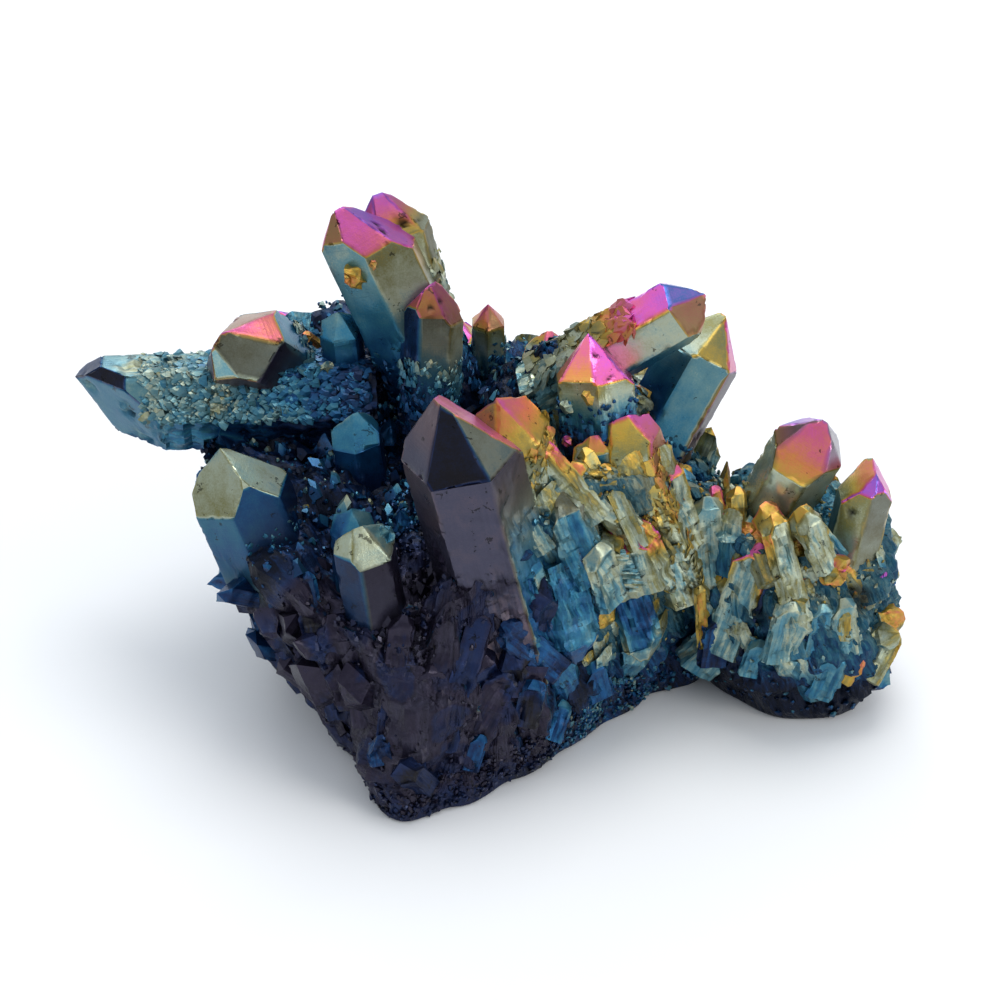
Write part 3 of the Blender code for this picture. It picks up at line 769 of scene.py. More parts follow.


# The main crystals. tip and foot are in millimetres, and width is across flats. roll turns side 0
# from the front, and side 1 is the next one to the right; a tip face stands over each side.
# drops: how far each tip face stands off the tip, in millimetres.
# crust: shares of the length where the crust starts and is full.
# tipFaces and sides: a tint for each face, from its top to its bottom where there are two.
# footTint: what all sides turn to at the foot, apart from those in ownFoot.
# the faces given gloss and painted light: 0 to 5 on the tip and 6 to 11 on the sides, made brighter by
# painted light and smoother, or below 0 darker by painted shade and rougher.
# reach: in widths, how far down the tip faces' second tint is reached.
crystals = {
    "frontTower": {
        "tip": (-4.5, -15, 44.9), "foot": (2.8, -13.6, 12), "width": 11, "roll": -10,
        "drops": (0.6, 0.6, 0, 2.9, 2, 1), "crust": (0.3, 0.75), "footTint": "mauve",
        "glossAndPaintedLight": {1: -0.4}, "ownFoot": (7,),
        "tipFaces": "night, smoke-fern, rose-magenta, rose-magenta, mauve, mauve-plum",
        "sides": "slate, slate-blue, pale-teal, olive-teal, mauve-plum, mauve-plum"},
    "frontShoulder": {
        "tip": (0.4, -10, 43), "foot": (5.5, -9.5, 22), "width": 8.4, "roll": 12,
        "drops": (0, 0, 2, 0, 2, 0), "crust": (0.2, 0.6), "footTint": "teal",
        "glossAndPaintedLight": {1: -0.2, 6: -0.3, 7: -0.2},
        "tipFaces": "orange-olive, rose-olive, gold-olive, rose-olive, mauve-olive, olive-gold",
        "sides": "olive-pale, olive-pale, pale-teal, olive-blue, olive-blue, olive-mist"},
    "wallLath": {
        "tip": (13.3, -5.4, 37.3), "foot": (21.3, -4.7, 14.5), "width": 6.6, "roll": -7,
        "drops": (0, 0.8, 2.5, 0, 0.9, 0.6), "crust": (0.16, 0.6), "footTint": "pale",
        "glossAndPaintedLight": {0: 0.5, 6: 0.3},
        "tipFaces": "gold-pale, magenta-umber, rose-umber, magenta-rose, orange-gold, gold-olive",
        "sides": "gold-pale, umber-olive, umber-olive, olive-teal, pale-teal, teal-pale"},
    "centrePyramid": {
        "tip": (10.5, 1, 43.6), "foot": (12, -4.6, 27.5), "width": 8.1, "roll": 31,
        "drops": (0.5, 0, 0.2, 0.1, 0.6, 0.7), "crust": (0.3, 0.7), "footTint": "ink",
        "glossAndPaintedLight": {0: 0.8, 5: 0.95, 1: 0.5},
        "tipFaces": "magenta-rose, magenta-rose, violet-rose, violet-rose, rose-gold, rose-gold",
        "sides": "olive-ink, olive-navy, olive-ink, olive-ink, olive-ink, olive-ink"},
    "rightSpear": {
        "tip": (21.9, 3.9, 46.2), "foot": (4.5, 5.2, 33.5), "width": 6.7, "roll": 20,
        "drops": (1.3, 1.8, 0.5, 0.3, 1.1, 1.4), "crust": (0.35, 0.8), "footTint": "mist",
        "glossAndPaintedLight": {0: -0.4, 5: -0.4, 10: 0.7, 11: 0.7},
        "tipFaces": "umber, umber-olive, umber-olive, olive, indigo-violet, indigo-violet",
        "sides": "pale, mist-ink, teal-ink, olive-mist, magenta-gold, magenta-gold"},
    "rightSpearPair": {
        "tip": (25, 10.6, 39.8), "foot": (14.6, 3, 22.5), "width": 8.2, "roll": 19,
        "drops": (0.5, 0.4, 0.2, 0.6, 0.7, 0.2), "crust": (0.55, 0.85), "footTint": "ink",
        "glossAndPaintedLight": {7: -0.5, 0: -0.1},
        "tipFaces": "olive-gold, magenta-rose, lilac, rose-olive, olive-mist, olive-mist",
        "sides": "mist-teal, lilac, mist-teal, teal-blue, teal-ink, mist-ink"},
    "lobeTower": {
        "tip": (34.6, -3.1, 33.9), "foot": (26.5, 3.5, 10), "width": 7.1, "roll": -7,
        "drops": (0, 1.3, 1.4, 1.5, 1.3, 1), "crust": (0.45, 0.8), "footTint": "pale",
        "glossAndPaintedLight": {0: 0.6, 6: 0.5, 11: 0.6},
        "tipFaces": "rose-gold, lilac-mist, lilac, violet, violet-indigo, mauve-olive",
        "sides": "pale, pale-olive, pale, pale-mist, mist, pale"},
    "lobeSide": {
        "tip": (40.5, -4.3, 29.6), "foot": (36.7, -5.8, 9), "width": 5.5, "roll": 39,
        "drops": (1.6, 0.7, 1.9, 2, 0.2, 1.3), "crust": (0.5, 0.9), "footTint": "mist",
        "glossAndPaintedLight": {0: 0.2, 4: 0.3, 5: 0.3},
        "tipFaces": "violet-magenta, magenta-rose, rose-orange, mist-olive, orange-mist, violet-magenta",
        "sides": "moss-ash, olive-pale, pale-mist, mist-teal, teal-mist, olive-mist"},
    "leftFront": {
        "tip": (-28.8, -5.8, 33.8), "foot": (-22.6, -8.2, 17), "width": 9.6, "roll": 14,
        "drops": (1.7, 0, 0.3, 0, 1.4, 0.2), "crust": (0.6, 0.9), "footTint": "plum",
        "glossAndPaintedLight": {1: 0.7, 11: -0.3, 6: -0.3},
        "tipFaces": "pale, pale, pale, gold-olive, mist-olive, pale-olive",
        "sides": "blue-dusk, navy-ink, navy-ink, teal-blue, teal-blue, teal-blue"},
    "frontSmall": {
        "tip": (-13.7, -17.3, 31.7), "foot": (-11.3, -15.5, 10.5), "width": 6, "roll": 18,
        "drops": (0.3, 0.4, 1.3, 0, 1.3, 0.9), "crust": (0.6, 0.9), "footTint": "plum",
        "glossAndPaintedLight": {6: -0.25, 11: -0.3},
        "tipFaces": "pale, mist-pale, mist-teal, pale-mist, pale-mist, pale",
        "sides": "plum-slate, plum, navy-ink, blue-ink, navy-dusk, navy-dusk"},
    "frontSmallPair": {
        "tip": (-14.8, -13, 31.2), "foot": (-14.2, -14, 18), "width": 4.4, "roll": 0,
        "drops": (0, 0, 1, 0, 1, 0), "crust": (0.5, 0.8), "footTint": "plum",
        "tipFaces": "teal, mist-teal, teal, teal, teal, blue",
        "sides": "blue-navy, navy-ink, navy-ink, navy-ink, blue-navy, blue-navy"},
    "valleyBlock": {
        "tip": (-15.1, 0, 34.3), "foot": (-13, -1, 20), "width": 5.2, "roll": 24,
        "drops": (0, 0.5, 1, 0, 1, 0), "crust": (0.4, 0.8), "footTint": "ink",
        "tipFaces": "teal, teal-blue, mist-teal, mist-teal, mist-teal, teal",
        "sides": "blue-ink, navy-ink, ink, ink, navy-ink, blue-ink"},
    "backLeftStub": {
        "tip": (-28.9, 6.2, 40.6), "foot": (-16.8, 16.5, 24), "width": 9, "roll": 2,
        "drops": (1.2, 1, 0.3, 0.2, 1.9, 2.2), "crust": (0.75, 0.95), "footTint": "ink",
        "glossAndPaintedLight": {0: -0.35, 5: 0.35},
        "tipFaces": "smoke-fern, rose-orange, umber, mauve, lilac, mist",
        "sides": "plum-navy, teal-navy, teal-ink, blue-ink, lilac-plum, mauve-plum"},
    "leftArm": {
        "tip": (-41.6, 7.1, 30.9), "foot": (-12.6, 8.2, 31), "width": 9.2, "roll": 2,
        "drops": (2.5, 4.2, 5.3, 3.3, 3.3, 0), "crust": (0.04, 0.25), "footTint": "ink",
        "glossAndPaintedLight": {5: -0.2},
        "tipFaces": "night-teal, navy-mist, navy-blue, navy-blue, plum-navy, teal",
        "sides": "mist-blue, mist, pale-mist, mist-teal, blue-ink, teal-navy"},
    "highTower": {
        "tip": (-15, 12.9, 52.4), "foot": (-5, 9, 29), "width": 9.3, "roll": 18,
        "drops": (1.2, 0, 0, 0, 2.1, 2.5), "crust": (0.6, 0.9), "footTint": "ink",
        "glossAndPaintedLight": {0: -0.3, 1: -0.3, 6: -0.5},
        "tipFaces": "magenta-orange, violet-magenta, orange-olive, violet, magenta-orange, umber-orange",
        "sides": "olive-teal, umber-blue, teal-blue, teal-blue, mist-blue, mist-blue"},
    "highTowerPair": {
        "tip": (-12, 16.8, 51.3), "foot": (-5.5, 10.5, 27.6), "width": 8, "roll": 17,
        "drops": (0.7, 0.6, 0.8, 0.1, 1, 1.3), "crust": (0.45, 0.8), "footTint": "blue",
        "glossAndPaintedLight": {0: -0.4, 1: -0.45, 5: -0.4, 7: -0.6, 6: -0.2}, "reach": 0.6,
        "tipFaces": "magenta-olive, magenta-pale, rose-olive, violet-rose, violet-rose, magenta-gold",
        "sides": "olive-blue, olive-mist, olive-mist, teal-blue, teal-blue, olive-blue"},
    "middleStub": {
        "tip": (-6.3, 8, 44.7), "foot": (-7.2, 1.5, 26), "width": 5.9, "roll": 7,
        "drops": (0.9, 0.5, 1.4, 1.2, 0.8, 1.4), "crust": (0.3, 0.6), "footTint": "ink",
        "glossAndPaintedLight": {0: -0.6, 1: -0.7, 5: -0.3, 6: -0.5, 7: -0.6},
        "tipFaces": "orange-umber, rose-umber, orange-olive, magenta-rose, magenta-orange, rose-orange",
        "sides": "smoke-ink, olive-blue, olive-ink, teal-ink, navy-ink, navy-ink"},
    "middleSmall": {
        "tip": (-0.5, 13, 40), "foot": (-0.5, 12, 24), "width": 3.6, "roll": 30,
        "drops": (0, 0, 0, 0, 0, 0), "crust": (0.2, 0.6), "footTint": "navy",
        "tipFaces": "umber, rose-umber, rose-gold, rose-gold, rose-gold, rose-gold",
        "sides": "olive-blue, olive-blue, olive-blue, teal-ink, teal-ink, olive-navy"},
    "behindStub": {
        "tip": (-16.7, 10, 41), "foot": (-15.6, 9, 28), "width": 4.2, "roll": 10,
        "drops": (0, 0, 1, 0, 1, 0), "crust": (0.3, 0.7), "footTint": "ink",
        "glossAndPaintedLight": {0: 0.3, 1: 0.3, 5: 0.3},
        "tipFaces": "mist-teal, teal, pale-mist, pale-mist, mist-teal, mist-teal",
        "sides": "teal-ink, blue-ink, navy-ink, navy-ink, teal-ink, teal-ink"},
}
# Smaller crystals: tip, foot, width, roll, tints at the tip and at the foot.
blades = {
    "bladeA": ((3.7, -11.5, 37.9), (10.5, -12.5, 29.0), 4.2, -20, "orange-pale"),
    "bladeB": ((6.5, -13.5, 33.2), (10.5, -14, 22.5), 4.6, 0, "smoke-teal"),
    "bladeC": ((10.3, -6.5, 35.8), (11.6, -8, 26.0), 4.0, 10, "gold-teal"),
    "bladeD": ((7.9, -10.5, 34.5), (14.8, -10, 26.0), 3.2, 20, "gold-pale"),
    "bladeE": ((12.5, -9.5, 27.6), (15.5, -10.5, 19.0), 7.6, -10, "orange-pale"),
    "bladeF": ((17.0, -7, 27.6), (16.4, -7.4, 19.5), 3.6, 15, "orange-pale"),
    "bladeG": ((9.6, -16.5, 13.4), (6.6, -13.5, 25.0), 5.6, -25, "blue-teal"),
    "bladeH": ((16.9, -12, 10.2), (14.6, -9.5, 17.5), 4.0, 10, "pale-blue"),
    "bladeI": ((22.5, -4.5, 22.3), (25.0, -5, 11.0), 4.6, 0, "pale-mist"),
    "bladeJ": ((27.8, -6.5, 11.6), (22.4, -5, 4.5), 5.2, 25, "pale-mist"),
    "bladeK": ((26.0, -5, 23.0), (31.2, -6.5, 18.5), 3.6, 15, "gold"),
    "bladeL": ((28.6, -6, 26.4), (34.0, -8, 18.0), 3.2, 20, "orange-olive"),
    "bladeM": ((32.1, -8, 27.2), (37.0, -8, 20.5), 3.0, -10, "olive-mist"),
    "bladeN": ((32.3, -9.5, 20.2), (33.4, -8.5, 12.0), 3.6, 0, "gold-pale"),
    "bladeO": ((34.8, -10.3, 15.4), (31.0, -8.5, 8.0), 4.4, 20, "pale-mist"),
    "bladeP": ((45.0, -5, 11.6), (38.0, -5, 9.5), 5.4, 15, "olive-pale"),
    "bladeQ": ((18.4, -5.5, 31.6), (21.4, -6, 21.0), 3.4, 30, "orange-pale"),
    "bladeR": ((2.2, -16.5, 27.5), (5.6, -15.5, 14.0), 4.8, -15, "mist-blue"),
    "bladeS": ((-2.4, -20.5, 17.8), (0.5, -17.5, 8.0), 4.6, 10, "plum-dusk"),
    "bladeT": ((-8.8, -22.5, 14.6), (-7.0, -20, 5.0), 5.0, 25, "plum-dusk"),
    "bladeU": ((-17.5, -17.5, 20.5), (-14.5, -16.5, 9.0), 5.6, -10, "plum"),
    "bladeV": ((-24.2, -12.5, 19.6), (-18.5, -10.5, 8.0), 5.4, 15, "plum-dusk"),
    "bladeW": ((-32.0, -1.5, 27.4), (-20.5, -1.0, 17.0), 5.4, 0, "blue-navy"),
}
# Laths and plates that lie on the walls, with the share of their width that is left in thickness.
wallForms = {
    "goldStrip": ((22.3, -8.3, 17.5), (23.0, -7.8, 9.0), 1.3, 20, "olive-gold", 0.7),
    "paleLath": ((22.7, -4.4, 26.5), (23.9, -6.8, 13.0), 3.6, 10, "pale-mist", 0.5),
    "roseLath": ((28.6, -7.6, 22.8), (25.0, -8.2, 8.5), 4.4, -15, "rose-mist", 0.55),
    "slotLath": ((30.6, -9.2, 19.5), (27.4, -9.4, 9.0), 1.6, 30, "navy-ink", 0.6),
    "goldLath": ((29.7, -7.6, 26.6), (33.0, -12.2, 15.4), 3.2, 25, "gold-pale", 0.6),
    "oliveLath": ((33.2, -8.8, 27.4), (36.0, -9.8, 20.8), 2.9, 20, "olive-pale", 0.7),
    "lobePaleA": ((33.0, -12.2, 16.8), (30.5, -11.2, 9.5), 3.4, 10, "pale-mist", 0.5),
    "lobePaleB": ((37.4, -10.2, 17.2), (38.8, -11.0, 10.5), 2.8, 0, "pale-mist", 0.5),
    "lobePaleC": ((35.4, -11.4, 17.4), (34.4, -11.4, 10.4), 2.5, 25, "mist-teal", 0.5),
    "lobeGoldA": ((37.9, -10.7, 16.0), (37.9, -11.2, 12.4), 1.4, 0, "gold-olive", 0.6),
    "lobeGoldB": ((39.9, -11.1, 9.8), (38.3, -10.9, 6.4), 1.5, 0, "orange-gold", 0.6),
    "saddleGoldA": ((26.3, -2.0, 26.2), (26.4, -5.8, 21.0), 2.0, 10, "gold-olive", 0.7),
    "saddleGoldB": ((23.6, -2.4, 26.5), (25.3, -3.8, 21.4), 1.6, 10, "rose-gold", 0.7),
    "saddleBlue": ((24.6, -7.8, 13.6), (24.0, -8.2, 6.8), 3.2, 10, "blue-navy", 0.5),
    "lobeTeal": ((29.0, -10.8, 12.2), (27.8, -10.6, 7.2), 2.2, 10, "mist-teal", 0.5),
    "wallGoldA": ((9.5, -7.6, 35.0), (13.6, -10.8, 28.0), 2.0, 20, "gold-olive", 0.6),
    "wallGoldB": ((11.4, -8.7, 33.6), (15.6, -11.8, 25.0), 2.2, 10, "gold-pale", 0.6),
    "combLath": ((10.8, -15.2, 27.8), (12.8, -14.0, 19.5), 3.6, 35, "pale-mist", 0.5),
    "lowTealA": ((10.6, -13.4, 11.0), (11.7, -12.6, 5.8), 3.0, 15, "teal-blue", 0.5),
    "lowBlueA": ((4.3, -20.8, 14.4), (3.4, -20.8, 8.4), 2.8, 0, "blue-dusk", 0.5),
    "lowBlueB": ((7.5, -15.9, 8.0), (6.0, -18.2, 4.2), 2.6, 10, "teal-blue", 0.5),
    "lowBlueC": ((-12.2, -24.3, 9.6), (-11.5, -25.6, 6.8), 2.8, -10, "navy", 0.6),
    "lowTealB": ((-1.3, -22.8, 8.6), (-2.4, -23.4, 4.2), 1.8, 0, "blue-navy", 0.5),
    "bandLath": ((0.8, -19.9, 21.0), (7.2, -17.6, 13.0), 3.4, 0, "navy", 0.4),
    "fanA": ((-9.5, -19.6, 22.0), (-11.0, -23.9, 8.0), 2.6, -5, "plum", 0.4),
    "fanB": ((-6.4, -21.3, 17.0), (-7.8, -24.9, 7.6), 3.4, 20, "plum", 0.4),
    "fanC": ((-1.0, -19.3, 22.4), (-5.6, -24.2, 7.6), 2.8, 5, "plum-dusk", 0.4),
    "fanD": ((1.6, -20.1, 15.4), (-2.4, -22.7, 7.2), 3.6, 10, "dusk-plum", 0.4),
    "fanE": ((-14.6, -18.7, 18.2), (-13.2, -20.9, 8.2), 3.4, -20, "plum", 0.4),
    "fanF": ((-19.9, -15.6, 20.6), (-16.4, -17.3, 6.5), 2.6, -15, "plum-dusk", 0.4),
    "lobeRim": ((43.7, -6.8, 10.8), (40.6, -10.6, 6.5), 3.0, 0, "gold-pale", 0.5),
    "lobeLow": ((37.3, -11.6, 11.1), (35.5, -10.4, 4.2), 3.0, 10, "mist-teal", 0.5),
    "lobeMid": ((31.8, -12.5, 18.5), (30.6, -12.2, 10.3), 2.8, 15, "pale-mist", 0.5),
    "leftBlue": ((-19.9, -14.4, 23.8), (-18.6, -17.5, 17.2), 2.0, -10, "blue-dusk", 0.5),
}
# A comb of thin pale laths at the edge of the large golden plate.
comb = {
    "first": (10.6, -14.5, 26.4), "last": (13.2, -13.5, 20.8), "reach": (3.4, 1.2, -0.9),
    "count": 9, "width": 0.6, "turn": 20, "tints": "pale-mist"}
bumps = {
    "yellowLump": ((36.9, -11.2, 21.4), (36.0, -8.0, 19.0), 2.8, 20, "gold"),
    "yellowCap": ((37.6, -10.6, 22.6), (36.6, -8.4, 20.0), 1.9, 45, "gold-magenta"),
    "towerBump": ((-15.9, 6.9, 47.8), (-13.6, 8.6, 46.0), 2.3, 10, "gold"),
    "towerBead": ((-13.0, 6.8, 49.1), (-12.5, 8.0, 48.0), 1.0, 0, "orange-umber"),
    "whiteCube": ((7.6, -4.8, 38.3), (8.4, -3.0, 37.3), 1.5, 30, "pale"),
    "goldBump": ((9.9, -5.5, 39.9), (10.7, -3.6, 39.0), 1.7, 10, "gold"),
    "goldBead": ((7.6, -5.9, 34.8), (8.4, -4.4, 33.6), 1.1, 0, "magenta-gold"),
    "orangeChip": ((-20.9, 11.6, 36.9), (-19.0, 12.6, 34.6), 1.4, 0, "orange-gold"),
    "paleCube": ((-18.0, 5.6, 36.6), (-17.8, 7.4, 34.8), 1.6, 20, "pale"),
    "palePlate": ((-30.5, 2.3, 33.2), (-29.0, 4.2, 32.0), 1.4, 0, "pale"),
    "tealBubble": ((-10.9, -17.0, 31.0), (-11.6, -15.6, 28.6), 1.8, 0, "mist-teal"),
    "violetChip": ((42.3, -7.0, 18.6), (41.4, -6.2, 16.2), 1.0, 0, "magenta-violet"),
}
farCrystals = {
    "farA": ((-24.5, 23.0, 32.5), (-15.0, 13.0, 20.0), 7.0, 10, "magenta-teal"),
    "farB": ((-4.5, 27.0, 29.5), (-3.0, 15.0, 18.0), 6.2, 0, "rose-teal"),
    "farC": ((11.5, 25.0, 30.5), (8.5, 13.5, 18.0), 6.8, 20, "magenta-mist"),
    "farD": ((19.5, 19.5, 29.0), (13.0, 11.5, 16.0), 6.0, 5, "orange-mist"),
    "farE": ((35.5, 9.0, 27.0), (32.0, 1.0, 13.0), 5.6, 15, "magenta-pale"),
    "farF": ((-33.0, 17.0, 29.5), (-20.0, 9.0, 18.0), 6.4, 25, "gold-blue"),
    "farG": ((6.0, 13.5, 36.2), (5.0, 9.0, 22.0), 4.6, 10, "orange-blue"),
}
crystalFinish = {
    # millimetres, apart from shares and places on the film scale
    "spacing": 0.42,  # between points on its faces
    "worn": 0.05,  # how far an edge is worn back
    "chip": 0.20,  # and where it is chipped
    "chipSize": 0.8, "chipRange": (0.08, 0.40),
    "wave": 0.07,  # waviness in the clean faces
    "waveSize": 2.6,
    "crustDepth": 0.55,  # relief where a face is crusted
    "crustSize": 1.1, "crustRise": 1.3, "crustSink": 0.25,
    "patchSize": 3.4, "patchSkin": 0.35, "patchFilm": 0.10,
    "blue": 0.22, "bluePatches": (0.12, 0.30),  # on the crust of the shaded side
    "edgeFilm": 0.08,  # the film is thicker along the edges, where its tint is a warm one
    "edgeRange": (0.004, 0.04), "warmTints": (0.30, 0.48),
    "fullWidth": 6.0,  # edges of a narrower crystal are finer in proportion
    "tipReach": 0.85, "sideStart": 0.4,  # in widths
    "sideEnd": 0.75, "footStart": 0.55,  # in lengths
    "faceSharpness": 60.0,
    "crease": 24,
}
# Pits in the faces, sunk and darkened with painted shade: place, radius and depth in millimetres.
hollows = {
    "highTowerPair": (((-9.7, 13.8, 49.8), 0.75, 0.6), ((-8.2, 15.2, 49.0), 0.45, 0.3)),
    "leftArm": (((-39.4, 5.4, 30.8), 0.75, 0.6), ((-36.4, 4.4, 33.0), 0.45, 0.3)),
    "highTower": (((-12.5, 11.3, 51.2), 0.5, 0.3), ((-11.7, 10.3, 50.9), 0.6, 0.4)),
    "frontTower": (((-5.8, -18.4, 31.6), 0.5, 0.3),),
    "frontShoulder": (((-1.2, -11.0, 40.7), 0.55, 0.4),),
    "rightSpear": (((21.2, 5.6, 38.3), 0.5, 0.3),),
    "centrePyramid": (((10.8, -1.6, 42.7), 0.4, 0.25), ((12.4, -3.4, 41.2), 0.35, 0.2)),
    "middleStub": (((-5.5, 6.6, 44.4), 0.45, 0.3), ((-6.6, 5.6, 44.3), 0.4, 0.2)),
    "lobeSide": (((38.4, -6.9, 26.1), 0.5, 0.35),),
}
# Small crystals strewn over the matrix, the same ones as in the solid.
scatterSeed = 11
scatterHueSeed = 5
scatterDrops = (0, 0, 0.4)  # in widths, each as likely
scatterRises = (0.02, 0.08, 0.08, 0.16)  # film added at the tips, each as likely
scatterSway = 0.35
scatterLean = Vector((-0.2, 0.0, 0.8))
scatterPlans = {
    "topCrystal": {
        "form": "wedge", "count": 34, "levels": (1.05, 1.8), "widths": (2.4, 3.8),
        "lengths": (4.0, 6.5), "outward": 1.0},
    "wallCrystal": {
        "form": "wedge", "count": 54, "levels": (0.25, 0.95), "widths": (2.6, 4.6),
        "lengths": (5.0, 8.5), "outward": 0.5},
    "lobeCrystal": {
        "form": "lobe", "count": 18, "levels": (0.15, 1.3), "widths": (2.2, 3.6),
        "lengths": (4.0, 6.0), "outward": 0.8},
}


def crystalAxes(tip, foot, roll):
    axis = (tip - foot).normalized()
    side = (frontWay - axis * frontWay.dot(axis)).normalized()
    side = Matrix.Rotation(math.radians(roll), 3, axis) @ side
    return axis, side, axis.cross(side)


def faceWays():
    # a prism's six sides and its six tip faces, in its own frame
    turns = [math.radians(60 * index) for index in range(6)]
    flats = [Vector((math.cos(turn), math.sin(turn), 0.0)) for turn in turns]
    rise = Vector((0, 0, math.sin(rhombAngle)))
    return flats, [flat * math.cos(rhombAngle) + rise for flat in flats]


def cutFace(point, normal):
    bpy.ops.mesh.select_all(action="SELECT")
    bpy.ops.mesh.bisect(plane_co=point, plane_no=normal, use_fill=True, clear_outer=True)


def cutPrism(name, width, length, drops, flatness=1.0):
    # a six-sided prism standing under the origin, its point cut to six slopes
    deselectAll()
    above = width + max(drops) * 2
    bpy.ops.mesh.primitive_cylinder_add(
        vertices=6, radius=width / 2 / math.cos(math.pi / 6), depth=length + above,
        location=(0, 0, (above - length) / 2))
    piece = bpy.context.object
    piece.name = name
    bpy.ops.object.transform_apply(location=True, rotation=False, scale=False)
    flats, slopes = faceWays()
    bpy.ops.object.mode_set(mode="EDIT")
    for index, drop in enumerate(drops):
        cutFace(slopes[index] * drop, slopes[index])
        if flatness < 1.0 and index in (0, 3):
            cutFace(flats[index] * width / 2 * flatness, flats[index])
    bpy.ops.object.mode_set(mode="OBJECT")
    return piece


def splitLongSides(piece, spacing):
    lowest = min(vertex.co.z for vertex in piece.data.vertices)
    highest = max(vertex.co.z for vertex in piece.data.vertices)
    count = max(2, int((highest - lowest) / spacing))
    pick(piece)
    bpy.ops.object.mode_set(mode="EDIT")
    for index in range(1, count):
        bpy.ops.mesh.select_all(action="SELECT")
        height = lowest + (highest - lowest) * index / count
        bpy.ops.mesh.bisect(plane_co=(0, 0, height), plane_no=(0, 0, 1))
    bpy.ops.object.mode_set(mode="OBJECT")


def refineCrystal(piece, width, most):
    # bands, then an even subdivision: fine enough for relief
    across = width * math.tan(math.pi / 6) / crystalFinish["spacing"]
    levels = max(1, min(most, int(math.log2(across) + 0.35)))
    splitLongSides(piece, crystalFinish["spacing"] * 2 ** levels)
    subdivideFaces(piece, levels)


def tintPairs(text):
    # film and dusk at the start and the end of each face
    pairs = [words.split("-") for words in text.split(", ")]
    return [(np.array(tints[words[0]]), np.array(tints[words[-1]])) for words in pairs]


def faceTints(spec, down, length, normals):
    # film and dusk, edge and painted light or shade for every point, from the face it lies on
    finish = crystalFinish
    flats, slopes = faceWays()
    ways = np.array([tuple(way) for way in slopes + flats])
    likeness = normals @ ways.T
    nearest = np.max(likeness, axis=1)
    share = np.exp((likeness - nearest[:, None]) * finish["faceSharpness"])
    belongs = share / np.sum(share, axis=1)[:, None]
    glossAndPaintedLight = np.zeros(len(down))
    for index, amount in spec.get("glossAndPaintedLight", {}).items():
        glossAndPaintedLight += amount * belongs[:, index]
    onTip = ease(down, 0.0, spec["width"] * spec.get("reach", finish["tipReach"]))
    onSide = ease(down, spec["width"] * finish["sideStart"], length * finish["sideEnd"])
    shade = np.zeros((len(down), 2))
    for index, (first, last) in enumerate(tintPairs(spec["tipFaces"]) + tintPairs(spec["sides"])):
        along = onTip if index < 6 else onSide
        mixed = first + (last - first) * along[:, None]
        shade += mixed * belongs[:, index, None]
    footTint = np.array(tints[spec["footTint"]])
    low = ease(down, length * finish["footStart"], length)
    for index in spec.get("ownFoot", ()):
        low = low * (1.0 - belongs[:, index])
    shade = shade + (footTint - shade) * low[:, None]
    edge = ease(1.0 - nearest, *finish["edgeRange"])
    warm = ease(shade[:, 0], *finish["warmTints"])
    thicker = finish["edgeFilm"] * min(1.0, spec["width"] / finish["fullWidth"])
    shade[:, 0] += edge * thicker * warm * (1.0 - low) * (1.0 - shade[:, 1])
    return shade, edge, glossAndPaintedLight


def pitBowls(name, placed):
    # how deep each point lies in a pit, and the painted shade there
    sunk = np.zeros(len(placed))
    dark = np.zeros(len(placed))
    for place, radius, depth in hollows.get(name, ()):
        reach = np.linalg.norm(placed - np.array(place), axis=1) / radius
        bowl = np.clip(1.0 - reach * reach, 0.0, 1.0)
        sunk += bowl * depth
        dark = np.maximum(dark, ease(bowl, 0.0, 0.6))
    return sunk, dark


def finishCrystal(piece, spec, material):
    # spec is in millimetres; the prism is worked in its own frame and then placed
    finish = crystalFinish
    tip = Vector(spec["tip"])
    foot = Vector(spec["foot"])
    length = (tip - foot).length
    points = meshVectors(piece.data, "co")
    normals = meshVectors(piece.data, "normal")
    down = -points[:, 2]
    shade, edge, glossAndPaintedLight = faceTints(spec, down, length, normals)
    axis, side, across = crystalAxes(tip, foot, spec["roll"])
    turn = np.array((side, across, axis))
    placed = points @ turn + np.array(tip)
    outward = normals @ turn
    wave = noiseField(placed, finish["waveSize"]) * finish["wave"]
    rough = noiseField(placed, finish["crustSize"], (9.0, 2.0, 5.0))
    patches = noiseField(placed, finish["patchSize"], (1.0, 7.0, 3.0))
    chipped = noiseField(placed, finish["chipSize"], (4.0, 4.0, 1.0))
    skin = ease(down / length + patches * finish["patchSkin"], *spec["crust"])
    crust = (rough * finish["crustRise"] - finish["crustSink"]) * skin * finish["crustDepth"]
    wear = finish["worn"] + finish["chip"] * ease(chipped, *finish["chipRange"])
    size = min(1.0, spec["width"] / finish["fullWidth"])
    sunk, dark = pitBowls(piece.name, placed)
    relief = wave + crust * (1.0 - edge) - edge * wear * size - sunk
    shade[:, 0] += skin * patches * finish["patchFilm"]
    blue = ease(patches, *finish["bluePatches"]) * finish["blue"]
    shade[:, 0] -= shade[:, 1] * blue * skin
    strand = points * np.array((1.0, 1.0, strandSqueeze)) + np.array(tip)
    # the shading layer: painted shade in the pits, and painted light (below 0) or painted shade (above
    # 0) on the faces listed for each crystal
    storeLayers(piece.data, strand, film=shade[:, 0], dusk=shade[:, 1], skin=skin, growth=down,
                hollow=dark - glossAndPaintedLight * (1.0 - dark))
    return placePiece(piece, placed + outward * relief[:, None], material, finish["crease"])


def buildCrystal(name, spec, most, material):
    length = (Vector(spec["tip"]) - Vector(spec["foot"])).length
    piece = cutPrism(name, spec["width"], length, spec["drops"], spec.get("flatness", 1.0))
    refineCrystal(piece, spec["width"], most)
    return finishCrystal(piece, spec, material)


livelySteps = (-1, 0, 0, 1)  # along the run of tints, from face to face, each as likely
calmSteps = (-1, 0, 0, 0)
plainCrust = (0.0, 0.35)


